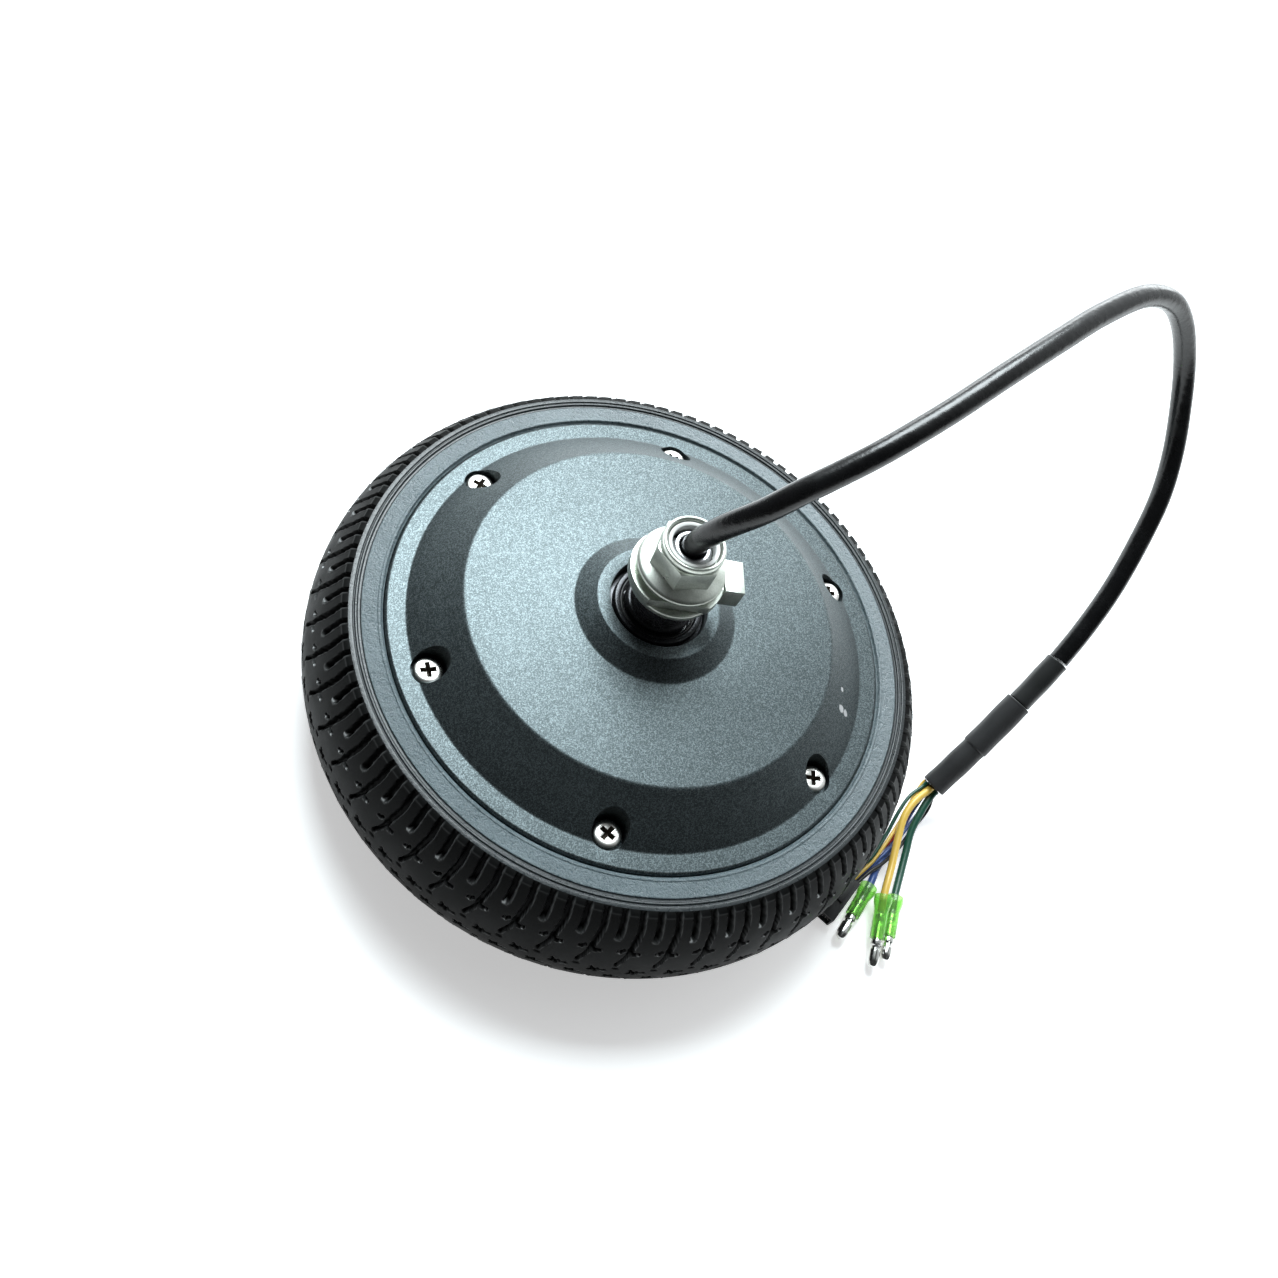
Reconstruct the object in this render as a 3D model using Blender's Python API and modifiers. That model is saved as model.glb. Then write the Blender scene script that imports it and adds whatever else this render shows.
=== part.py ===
"""Hub motor wheel: a solid-tyred wheel with a brushless motor inside and its cable.

The wheel lies on its back. The spin axis is +Z through the origin, the floor is z = 0 and
the cable leaves the hollow axle at the top. Sizes below are millimetres.
"""
import math

import bmesh
import bpy
from mathutils import Matrix, Vector

MM = 0.001
GAP = 0.3

TYRE_R = 100.0
TYRE_WIDTH = 50.0
TYRE_BORE_R = 78.9
CROWN_RADIUS = 31.5

RIM_R = 78.6
RIM_WELL_R = 72.0
SHELL_TOP = 43.5
SHELL_CAVITY_R = 64.3
GASKET_Z = (43.8, 44.2)
COVER_Z = (44.5, 50.0)
CONE_R = (57.7, 72.5)
DISC_Z = 61.8
BOSS_R = (19.1, 25.1)
BOSS_Z = 66.0
COVER_BORE_R = 15.1

SCREW_COUNT = 6
SCREW_CIRCLE_R = 68.7
SCREW_ANGLE = 48.0
SCREW_SHANK_R = 2.3
SCREW_HEAD_R = 4.3
SCREW_HEAD_Z = (46.9, 49.9)
SCREW_TIP_Z = 34.0
POCKET_R = 5.2
RECESS_LENGTH = 4.6
RECESS_WIDTH = 1.15
RECESS_DEPTH = 1.7

FLUX_R = (60.7, 64.0)
FLUX_Z = (9.0, 40.0)
MAGNET_R = (57.5, 60.4)
MAGNET_Z = (10.0, 39.0)
POLE_COUNT = 30
TOOTH_COUNT = 27
CORE_R = (34.0, 41.0)
TOOTH_TIP_R = (54.6, 56.8)
TOOTH_NECK = 4.4
CORE_Z = (11.0, 38.0)
WINDING_R = (41.4, 54.2)
WINDING_Z = (7.2, 42.0)

BEARING_R = (8.8, 17.5)
BEARING_WIDTH = 10.0
REAR_BEARING_Z = 5.4
FRONT_BEARING_Z = 50.6
BALL_COUNT = 9
BALL_PITCH_R = 13.15
BALL_R = 2.05

AXLE_R = 8.4
AXLE_BORE_R = 3.9
AXLE_SHOULDER_Z = 77.1
THREAD_R = 6.0
AXLE_TOP_Z = 96.2
NUT_BORE_R = 6.3

NUT_AZIMUTH = 38.0
NUT_CORNER_R = 10.4
NUT_FLANGE_R = 13.3
NUT_Z = (85.7, 98.2)
WASHER_R = 13.2
TORQUE_R = 14.2
TORQUE_FLAT = 10.9
TORQUE_AZIMUTH = 28.0
TORQUE_Z = (80.0, 83.2)
LUG_SIZE = (5.8, 10.6, 7.5)
LUG_CENTRE = (16.5, 0.0, 81.15)

CABLE_R = 3.5
CABLE_ROUTE = [
    (0, 0, 72), (0, 0, 84), (0, 0, 97), (4, 0.5, 108.5), (11, 4, 119), (17, 10, 127), (23, 17, 133),
    (30, 27, 139), (39, 44, 145), (48, 64, 150), (57, 85, 153), (65, 104, 154), (75, 124, 153),
    (85, 137, 148), (94, 144, 139.5), (103.5, 147.5, 127.5), (112, 145.5, 115.5), (120.5, 138, 102.5),
    (126, 128, 91), (128.5, 115, 79.5), (129.4, 101.5, 68.8), (128.6, 88.8, 59.2), (127, 78, 51),
]
SLEEVES = [
    ("cable_sleeve_thin", (126.9, 77.4, 50.5), (123.6, 63.4, 38.5), 4.1),
    ("cable_sleeve_middle", (123.5, 63.0, 38.2), (119.2, 47.2, 24.6), 4.8),
    ("cable_sleeve_end", (119.1, 46.8, 24.3), (114.7, 33.1, 12.1), 4.5),
]
PHASE_WIRE_R = 1.3
HALL_WIRE_R = 0.65
PHASE_WIRES = {
    "phase_wire_yellow": ((0.3, 1.9), [(110.9, 24.3, 11.2), (109.9, 17.6, 9.8), (111.0, 10.3, 8.3),
                                       (112.9, 0.0, 7.0), (113.7, -7.0, 6.8), (114.3, -11.1, 6.4)]),
    "phase_wire_green": ((-1.9, -0.1), [(115.3, 25.2, 8.6), (115.2, 16.5, 6.0), (116.6, 9.1, 4.4),
                                        (117.9, 0.6, 3.4), (118.5, -5.2, 3.4), (118.84, -7.65, 3.4)]),
    "phase_wire_blue": ((0.9, -1.8), [(113.2, 25.0, 3.5), (112.9, 18.0, 1.7), (111.6, 8.0, 1.6),
                                      (110.0, -1.0, 2.1), (109.6, -6.0, 3.3), (109.45, -9.25, 3.4)]),
}
HALL_WIRES = {
    "hall_wire_green": ((2.5, 2.2), [(108.6, 25.0, 11.3), (107.5, 18.0, 9.7), (107.1, 9.0, 7.5),
                                     (106.0, 0.0, 6.0), (104.2, -5.0, 5.0), (102.0, -10.5, 4.1)]),
    "hall_wire_yellow": ((3.1, 0.5), [(110.6, 26.0, 8.6), (110.2, 18.0, 6.7), (108.9, 9.0, 6.2),
                                      (107.3, 0.0, 5.0), (105.7, -5.0, 4.5), (103.5, -10.8, 4.1)]),
    "hall_wire_red": ((3.0, -1.2), [(111.9, 26.0, 7.1), (111.9, 18.0, 5.2), (109.9, 9.0, 4.6),
                                    (106.6, 0.0, 3.2), (104.9, -5.0, 2.8), (102.7, -10.6, 2.2)]),
    "hall_wire_blue": ((-1.0, -2.9), [(115.8, 27.0, 5.9), (114.0, 18.0, 4.1), (111.7, 9.0, 4.0),
                                      (108.4, 0.0, 3.5), (106.6, -5.0, 2.9), (104.3, -10.9, 2.2)]),
    "hall_wire_black": ((-2.5, -2.2), [(117.7, 27.0, 6.2), (116.0, 18.0, 3.1), (114.0, 9.0, 3.1),
                                       (110.4, 0.0, 4.5), (107.6, -5.0, 4.9), (105.0, -11.1, 4.1)]),
}
BULLETS = {
    "yellow": ((114.4, -11.4, 6.35), (120.2, -34.6, 3.1), 14.5),
    "green": ((118.9, -8.0, 3.4), (123.4, -30.2, 3.0), 14.0),
    "blue": ((109.4, -9.6, 3.4), (106.6, -31.8, 3.0), 12.5),
}
INSULATOR_R = 2.4
INSULATOR_MOUTH_R = 3.05
TERMINAL_R = 1.9
CONNECTOR_AXIS = ((103.5, -11.2, 3.1), (99.9, -28.3, 3.1))
CONNECTOR_SECTION = (4.8, 5.0)

ROUND = 48
MEDIUM_ROUND = 36
SMALL_ROUND = 24
TINY_ROUND = 16


def clear_scene():
    for old in list(bpy.data.objects):
        bpy.data.objects.remove(old, do_unlink=True)


clear_scene()
parts = bpy.data.collections.new("hub_motor_wheel")
cutters = bpy.data.collections.new("cutters")
bpy.context.scene.collection.children.link(parts)
bpy.context.scene.collection.children.link(cutters)


def material(name, colour, roughness, metallic):
    mat = bpy.data.materials.new(name)
    mat.use_nodes = True
    shader = mat.node_tree.nodes["Principled BSDF"]
    shader.inputs["Base Color"].default_value = (*colour, 1.0)
    shader.inputs["Roughness"].default_value = roughness
    shader.inputs["Metallic"].default_value = metallic
    mat.diffuse_color = (*colour, 1.0)
    return mat


TYRE_RUBBER = ("tyre_rubber", (0.022, 0.024, 0.025), 0.55, 0.0)
SHELL_COAT = ("shell_coat", (0.085, 0.105, 0.115), 0.5, 0.6)
COVER_COAT = ("cover_coat", (0.10, 0.125, 0.135), 0.45, 0.6)
NICKEL = ("screw_nickel", (0.66, 0.65, 0.60), 0.22, 1.0)
ZINC = ("zinc_plate", (0.62, 0.66, 0.60), 0.35, 0.9)
TIN = ("terminal_tin", (0.72, 0.72, 0.70), 0.25, 1.0)
DARK_STEEL = ("blackened_steel", (0.018, 0.019, 0.02), 0.4, 0.7)
BEARING_STEEL = ("bearing_steel", (0.55, 0.56, 0.57), 0.22, 1.0)
LAMINATION = ("lamination_steel", (0.20, 0.20, 0.21), 0.5, 0.9)
MAGNET = ("magnet_nickel", (0.40, 0.40, 0.39), 0.3, 1.0)
COPPER = ("enamelled_copper", (0.60, 0.22, 0.06), 0.35, 0.8)
CAST = ("cast_aluminium", (0.48, 0.49, 0.50), 0.5, 0.9)
NYLON = ("nut_nylon", (0.72, 0.73, 0.70), 0.5, 0.0)
SEAL_RUBBER = ("seal_rubber", (0.015, 0.015, 0.016), 0.5, 0.0)
GASKET_PAPER = ("gasket_paper", (0.10, 0.12, 0.11), 0.8, 0.0)
BOARD = ("board_green", (0.03, 0.16, 0.06), 0.45, 0.0)
CABLE_PVC = ("cable_pvc", (0.014, 0.014, 0.015), 0.32, 0.0)
SLEEVE = ("heat_shrink", (0.028, 0.029, 0.030), 0.6, 0.0)
GREEN_PVC = ("insulator_green", (0.06, 0.42, 0.10), 0.25, 0.0)
CONNECTOR_BLACK = ("connector_black", (0.02, 0.02, 0.021), 0.45, 0.0)
WIRE_COLOURS = {
    "yellow": (0.78, 0.50, 0.05),
    "green": (0.01, 0.13, 0.09),
    "blue": (0.05, 0.14, 0.50),
    "red": (0.50, 0.02, 0.02),
    "black": (0.015, 0.015, 0.016),
}


def finish(obj, finish_of, smooth=True):
    """Put an object in the parts collection with its own material and shading."""
    for owner in list(obj.users_collection):
        owner.objects.unlink(obj)
    parts.objects.link(obj)
    label, colour, roughness, metallic = finish_of
    obj.data.materials.clear()
    obj.data.materials.append(material(f"{obj.name}_{label}", colour, roughness, metallic))
    if smooth and obj.type == "MESH":
        for face in obj.data.polygons:
            face.use_smooth = True
    return obj


def mesh_object(name, mesh_builder):
    mesh = bpy.data.meshes.new(name)
    builder = bmesh.new()
    mesh_builder(builder)
    builder.to_mesh(mesh)
    builder.free()
    obj = bpy.data.objects.new(name, mesh)
    parts.objects.link(obj)
    return obj


def turned(name, outline, steps=ROUND, closed=True):
    """Turn an outline of (radius, height) about Z; the outer side runs from top to bottom."""
    def build(builder):
        verts = [builder.verts.new((r * MM, 0.0, z * MM)) for r, z in outline]
        for first, second in zip(verts, verts[1:]):
            builder.edges.new((first, second))
        if closed:
            builder.edges.new((verts[-1], verts[0]))

    obj = mesh_object(name, build)
    screw = obj.modifiers.new("turn", "SCREW")
    screw.axis = "Z"
    screw.steps = steps
    screw.render_steps = steps
    screw.use_merge_vertices = True
    screw.merge_threshold = 0.00001
    screw.use_smooth_shade = True
    return obj


def tube_outline(inner, outer, low, high, bevel=0.0):
    """Outline of a plain ring, its four corners cut by the bevel."""
    if bevel == 0.0:
        return [(inner, high), (outer, high), (outer, low), (inner, low)]
    return [
        (inner, high - bevel), (inner + bevel, high), (outer - bevel, high), (outer, high - bevel),
        (outer, low + bevel), (outer - bevel, low), (inner + bevel, low), (inner, low + bevel),
    ]


def drum(name, radius, low, high, steps=24):
    def build(builder):
        bmesh.ops.create_cone(builder, cap_ends=True, segments=steps, radius1=radius * MM,
                              radius2=radius * MM, depth=(high - low) * MM)
        bmesh.ops.translate(builder, verts=builder.verts, vec=(0.0, 0.0, (high + low) / 2 * MM))

    return mesh_object(name, build)


def block(name, size, centre, azimuth=0.0):
    def build(builder):
        bmesh.ops.create_cube(builder, size=1.0)
        bmesh.ops.scale(builder, verts=builder.verts, vec=[side * MM for side in size])
        bmesh.ops.translate(builder, verts=builder.verts, vec=[at * MM for at in centre])
        bmesh.ops.rotate(builder, verts=builder.verts, cent=(0.0, 0.0, 0.0),
                         matrix=Matrix.Rotation(math.radians(azimuth), 3, "Z"))

    return mesh_object(name, build)


def extruded(name, outline, low, high, hole=None):
    """A flat outline of (x, y) points, with an optional hole, raised from low to high."""
    curve = bpy.data.curves.new(name, "CURVE")
    curve.dimensions = "2D"
    curve.fill_mode = "BOTH"
    curve.extrude = (high - low) / 2 * MM
    for loop in [outline] + ([hole] if hole else []):
        spline = curve.splines.new("POLY")
        spline.points.add(len(loop) - 1)
        for point, (x, y) in zip(spline.points, loop):
            point.co = (x * MM, y * MM, 0.0, 1.0)
        spline.use_cyclic_u = True
    raised = bpy.data.objects.new(name + "_curve", curve)
    parts.objects.link(raised)
    mesh = bpy.data.meshes.new_from_object(raised.evaluated_get(bpy.context.evaluated_depsgraph_get()))
    bpy.data.objects.remove(raised, do_unlink=True)
    builder = bmesh.new()
    builder.from_mesh(mesh)
    bmesh.ops.remove_doubles(builder, verts=builder.verts, dist=0.00001)
    bmesh.ops.translate(builder, verts=builder.verts, vec=(0.0, 0.0, (high + low) / 2 * MM))
    builder.to_mesh(mesh)
    builder.free()
    obj = bpy.data.objects.new(name, mesh)
    parts.objects.link(obj)
    return obj


def boolean(obj, tool, operation="DIFFERENCE"):
    """Cut with, or add, another object, which is kept aside with the cutters."""
    for owner in list(tool.users_collection):
        owner.objects.unlink(tool)
    cutters.objects.link(tool)
    tool.hide_render = True
    tool.display_type = "WIRE"
    step = obj.modifiers.new(operation.lower(), "BOOLEAN")
    step.operation = operation
    step.solver = "EXACT"
    step.object = tool


def joined_cutter(name, pieces):
    """Put several separate cutting solids in one mesh."""
    builder = bmesh.new()
    for piece in pieces:
        builder.from_mesh(piece.data)
        bpy.data.objects.remove(piece, do_unlink=True)
    mesh = bpy.data.meshes.new(name)
    builder.to_mesh(mesh)
    builder.free()
    obj = bpy.data.objects.new(name, mesh)
    parts.objects.link(obj)
    return obj


def polar(radius, degrees):
    angle = math.radians(degrees)
    return radius * math.cos(angle), radius * math.sin(angle)


def smooth_route(points, spacing):
    """Points at even spacing along a smooth curve through the route's own points."""
    knots = [Vector(point) for point in points]
    knots = [2 * knots[0] - knots[1]] + knots + [2 * knots[-1] - knots[-2]]
    fine = []
    for before, start, end, after in zip(knots, knots[1:], knots[2:], knots[3:]):
        for step in range(12):
            t = step / 12
            fine.append(0.5 * (2 * start + (end - before) * t
                               + (2 * before - 5 * start + 4 * end - after) * t ** 2
                               + (3 * start - before - 3 * end + after) * t ** 3))
    fine.append(knots[-2])
    lengths = [0.0]
    for first, second in zip(fine, fine[1:]):
        lengths.append(lengths[-1] + (second - first).length)
    count = max(2, round(lengths[-1] / spacing))
    route = []
    at = 0
    for index in range(count + 1):
        wanted = lengths[-1] * index / count
        while at < len(fine) - 2 and lengths[at + 1] < wanted:
            at += 1
        share = (wanted - lengths[at]) / (lengths[at + 1] - lengths[at])
        route.append(fine[at].lerp(fine[at + 1], min(1.0, share)))
    return route


def wire_route(offset, points):
    """A wire's route: it leaves the end face of the last sleeve square, side by side with the others."""
    begin, end = (Vector(point) for point in SLEEVES[-1][1:3])
    forward = (end - begin).normalized()
    side = Vector((forward.y, -forward.x, 0.0)).normalized()
    above = side.cross(forward)
    mouth = end + side * offset[0] + above * offset[1]
    return [mouth + forward * (GAP + 0.05), mouth + forward * 2.5] + [Vector(point) for point in points]


def cord(name, route, radius, resolution=2):
    curve = bpy.data.curves.new(name, "CURVE")
    curve.dimensions = "3D"
    curve.bevel_depth = radius * MM
    curve.bevel_resolution = resolution
    curve.use_fill_caps = True
    spline = curve.splines.new("POLY")
    spline.points.add(len(route) - 1)
    for point, at in zip(spline.points, route):
        point.co = (*(Vector(at) * MM), 1.0)
    obj = bpy.data.objects.new(name, curve)
    parts.objects.link(obj)
    return obj


def along(obj, start, end):
    """Lay an object built up the Z axis from the origin along a line."""
    direction = Vector(end) - Vector(start)
    obj.rotation_euler = direction.to_track_quat("Z", "Y").to_euler()
    obj.location = Vector(start) * MM
    return obj


def tyre_outline():
    half = TYRE_WIDTH / 2
    crown = [(TYRE_R - rise ** 2 / (2 * CROWN_RADIUS), rise) for rise in (21.5, 16.5, 10.5, 3.5)]
    shoulder = [(79.3, half - 1.0), (79.9, half), (85.4, half), (86.3, half - 0.7), (87.2, half - 0.1),
                (89.7, half - 1.0)]
    back_shoulder = [(79.9, half), (87.2, half), (89.7, half - 1.0)]
    front = [(r, half + rise) for r, rise in shoulder + crown]
    back = [(r, half - rise) for r, rise in reversed(back_shoulder + crown)]
    inner = [(TYRE_BORE_R, 1.4), (TYRE_BORE_R, 6.6), (RIM_WELL_R + GAP, 8.6),
             (RIM_WELL_R + GAP, 41.0), (TYRE_BORE_R, 43.0), (TYRE_BORE_R, 48.6)]
    return front + back + inner


def make_rolling_parts():
    finish(turned("tyre", tyre_outline()), TYRE_RUBBER)

    shell = turned("hub_shell", [
        (0.0, 4.8), (17.8, 4.8), (17.8, 16.0), (22.0, 16.0), (22.0, 6.5), (60.0, 6.5), (SHELL_CAVITY_R, 9.0),
        (SHELL_CAVITY_R, SHELL_TOP), (RIM_R, SHELL_TOP), (RIM_R, SHELL_TOP - 0.3), (RIM_WELL_R, 41.3),
        (RIM_WELL_R, 8.3), (RIM_R, 6.3), (RIM_R, 0.0), (58.0, 0.0), (56.0, 1.2), (0.0, 1.2),
    ], MEDIUM_ROUND, closed=False)
    holes = [drum("screw_hole", SCREW_SHANK_R + GAP, SCREW_TIP_Z - 1.0, SHELL_TOP + 2.0, 8)
             for _ in range(SCREW_COUNT)]
    place_on_screw_circle(holes)
    boolean(shell, joined_cutter("shell_holes", holes))
    finish(shell, SHELL_COAT)

    gasket = turned("cover_gasket", tube_outline(65.0, 77.5, *GASKET_Z), SMALL_ROUND)
    holes = [drum("gasket_hole", SCREW_SHANK_R + 1.0, GASKET_Z[0] - 1.0, GASKET_Z[1] + 1.0, 6)
             for _ in range(SCREW_COUNT)]
    place_on_screw_circle(holes)
    boolean(gasket, joined_cutter("gasket_holes", holes))
    finish(gasket, GASKET_PAPER)

    low, top = COVER_Z
    cover = turned("front_cover", [
        (COVER_BORE_R, BOSS_Z), (BOSS_R[0], BOSS_Z), (BOSS_R[1], DISC_Z + 0.1),
        (CONE_R[0], DISC_Z), (CONE_R[1], top), (RIM_R - 0.6, top), (RIM_R, top - 0.6), (RIM_R, low),
        (SHELL_CAVITY_R, low), (62.0, 48.5), (52.5, 57.5), (22.3, 57.5), (22.3, 50.2),
        (17.8, 50.2), (17.8, 60.9), (COVER_BORE_R, 60.9),
    ])
    tools = [drum("screw_pocket", POCKET_R, SCREW_HEAD_Z[0] - GAP, DISC_Z, TINY_ROUND) for _ in range(SCREW_COUNT)]
    place_on_screw_circle(tools)
    boolean(cover, joined_cutter("screw_pockets", tools))
    tools = [drum("cover_hole", SCREW_SHANK_R + 0.4, low - 1.0, DISC_Z - 1.0, 8) for _ in range(SCREW_COUNT)]
    place_on_screw_circle(tools)
    boolean(cover, joined_cutter("cover_holes", tools))
    finish(cover, COVER_COAT)
    make_cover_screws()

    finish(turned("flux_ring", tube_outline(*FLUX_R, *FLUX_Z), MEDIUM_ROUND), LAMINATION)
    make_magnet_ring()
    finish(turned("front_seal_case", [
        (12.0, 65.0), (13.4, 65.0), (13.7, 64.6), (13.7, 62.4), (14.8, 62.4), (14.8, 61.2), (12.0, 61.2),
    ], MEDIUM_ROUND), BEARING_STEEL)
    finish(turned("front_seal_lip", [(10.8, 64.2), (11.7, 64.6), (11.7, 61.2), (10.9, 61.2)], MEDIUM_ROUND),
           SEAL_RUBBER)
    for name, base in (("front", FRONT_BEARING_Z), ("rear", REAR_BEARING_Z)):
        outer = tube_outline(BALL_PITCH_R + 2.4, BEARING_R[1], base, base + BEARING_WIDTH)
        finish(turned(f"{name}_bearing_outer_race", outer, MEDIUM_ROUND), BEARING_STEEL)


def place_on_screw_circle(tools):
    for index, tool in enumerate(tools):
        x, y = polar(SCREW_CIRCLE_R, SCREW_ANGLE + index * 360.0 / SCREW_COUNT)
        tool.data.transform(Matrix.Translation((x * MM, y * MM, 0.0)))


def make_cover_screws():
    base, top = SCREW_HEAD_Z
    for index in range(SCREW_COUNT):
        azimuth = SCREW_ANGLE + index * 360.0 / SCREW_COUNT
        screw = turned(f"cover_screw_{index + 1}", [
            (0.0, top), (3.2, top), (SCREW_HEAD_R, top - 0.9), (SCREW_HEAD_R, base),
            (SCREW_SHANK_R, base), (SCREW_SHANK_R, SCREW_TIP_Z + 0.8), (1.5, SCREW_TIP_Z), (0.0, SCREW_TIP_Z),
        ], TINY_ROUND, closed=False)
        for turn in (0.0, 90.0):
            slot = block(f"recess_{index + 1}_{int(turn)}", (RECESS_LENGTH, RECESS_WIDTH, RECESS_DEPTH + 1.0),
                         (0.0, 0.0, top - RECESS_DEPTH + (RECESS_DEPTH + 1.0) / 2), turn + 20.0 + 37.0 * index)
            slot.location = (*[at * MM for at in polar(SCREW_CIRCLE_R, azimuth)], 0.0)
            boolean(screw, slot)
        screw.location = (*[at * MM for at in polar(SCREW_CIRCLE_R, azimuth)], 0.0)
        finish(screw, NICKEL)


def make_magnet_ring():
    """Thirty arc magnets bonded into one ring, a shallow gap left between neighbours."""
    inner = []
    pitch = 360.0 / POLE_COUNT
    for pole in range(POLE_COUNT):
        start = pole * pitch
        inner.append(polar(MAGNET_R[0] + 1.2, start))
        for share in (0.1, 0.9):
            inner.append(polar(MAGNET_R[0], start + pitch * share))
    outer = [polar(MAGNET_R[1], step * 360.0 / MEDIUM_ROUND) for step in range(MEDIUM_ROUND)]
    finish(extruded("magnet_ring", outer, *MAGNET_Z, hole=inner), MAGNET, smooth=False)


def make_stator():
    pitch = 360.0 / TOOTH_COUNT
    outline = []
    for tooth in range(TOOTH_COUNT):
        centre = tooth * pitch
        root = math.degrees(math.asin(TOOTH_NECK / 2 / CORE_R[1]))
        neck = math.degrees(math.asin(TOOTH_NECK / 2 / TOOTH_TIP_R[0]))
        tip = pitch * 0.42
        for radius, offset in ((CORE_R[1], -root), (TOOTH_TIP_R[0], -neck), (TOOTH_TIP_R[1], -tip),
                               (TOOTH_TIP_R[1], tip), (TOOTH_TIP_R[0], neck), (CORE_R[1], root)):
            outline.append(polar(radius, centre + offset))
    bore = [polar(CORE_R[0], step * 360.0 / SMALL_ROUND) for step in range(SMALL_ROUND)]
    finish(extruded("stator_core", outline, *CORE_Z, hole=bore), LAMINATION, smooth=False)

    winding = turned("stator_winding", tube_outline(*WINDING_R, *WINDING_Z), 27)
    window = (WINDING_R[1] - WINDING_R[0] + 6.0, TOOTH_NECK + 2 * GAP + 0.1, CORE_Z[1] - CORE_Z[0] + 2 * GAP)
    centre = ((WINDING_R[0] + WINDING_R[1]) / 2, 0.0, (CORE_Z[0] + CORE_Z[1]) / 2)
    windows = [block("tooth_window", window, centre, tooth * pitch) for tooth in range(TOOTH_COUNT)]
    boolean(winding, joined_cutter("tooth_windows", windows))
    finish(winding, COPPER, smooth=False)

    carrier = turned("stator_carrier", [
        (10.3, 34.0), (15.5, 34.0), (16.0, 27.5), (30.0, 27.5), (31.0, 36.0), (33.5, 36.0), (33.5, 13.0),
        (31.0, 13.0), (30.0, 21.5), (16.0, 21.5), (15.5, 20.0), (10.3, 20.0),
    ], SMALL_ROUND)
    windows = []
    for index in range(4):
        window = drum("carrier_window", 4.5, 18.0, 32.0, 8)
        x, y = polar(23.0, index * 90.0)
        window.data.transform(Matrix.Translation((x * MM, y * MM, 0.0)))
        windows.append(window)
    boolean(carrier, joined_cutter("carrier_windows", windows))
    finish(carrier, CAST)

    arc_start, arc_end = 200.0, 330.0
    steps = 14
    arc = [arc_start + (arc_end - arc_start) * step / steps for step in range(steps + 1)]
    board = [polar(50.0, at) for at in arc] + [polar(40.0, at) for at in reversed(arc)]
    finish(extruded("hall_sensor_board", board, 42.4, 43.6), BOARD, smooth=False)


def make_axle():
    axle = turned("axle", [
        (0.0, 46.0), (AXLE_BORE_R, 46.0), (AXLE_BORE_R, AXLE_TOP_Z - 0.4), (AXLE_BORE_R + 0.3, AXLE_TOP_Z),
        (THREAD_R - 0.9, AXLE_TOP_Z), (THREAD_R, AXLE_TOP_Z - 1.1), (THREAD_R, AXLE_SHOULDER_Z),
        (AXLE_R, AXLE_SHOULDER_Z), (AXLE_R, 37.0), (12.6, 37.0), (12.6, 34.3), (10.0, 34.3), (10.0, 16.0),
        (AXLE_R, 16.0), (AXLE_R, 5.6), (0.0, 5.6),
    ], SMALL_ROUND, closed=False)
    boolean(axle, block("thread_slot", (1.8, 2.4, 14.0), (-THREAD_R, 0.0, AXLE_TOP_Z - 5.5), -10.0))
    boolean(axle, block("wire_exit", (12.0, 5.0, 4.0), (8.0, 0.0, 48.2), 20.0))
    finish(axle, DARK_STEEL)

    finish(turned("axle_spacer", [
        (8.7, 76.9), (9.2, 76.9), (9.2, 66.4), (10.0, 66.4), (10.4, 66.0), (10.4, 61.0), (8.7, 61.0),
    ], SMALL_ROUND), DARK_STEEL)
    for name, base in (("front", FRONT_BEARING_Z), ("rear", REAR_BEARING_Z + 0.4)):
        inner = tube_outline(BEARING_R[0], BALL_PITCH_R - 2.4, base, base + BEARING_WIDTH)
        finish(turned(f"{name}_bearing_inner_race", inner, SMALL_ROUND), BEARING_STEEL)
    for name, base in (("front", FRONT_BEARING_Z), ("rear", REAR_BEARING_Z)):
        make_ball_cage(f"{name}_bearing_balls", base + BEARING_WIDTH / 2)


def make_ball_cage(name, height):
    cage = turned(name, tube_outline(BALL_PITCH_R - 0.8, BALL_PITCH_R + 0.8, height - 0.8, height + 0.8), 27)
    for index in range(BALL_COUNT):
        x, y = polar(BALL_PITCH_R, index * 360.0 / BALL_COUNT)

        def build(builder, at=(x * MM, y * MM, height * MM)):
            bmesh.ops.create_uvsphere(builder, u_segments=8, v_segments=4, radius=BALL_R * MM)
            bmesh.ops.translate(builder, verts=builder.verts, vec=at)

        boolean(cage, mesh_object(f"{name}_{index + 1}", build), "UNION")
    finish(cage, BEARING_STEEL)


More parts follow.
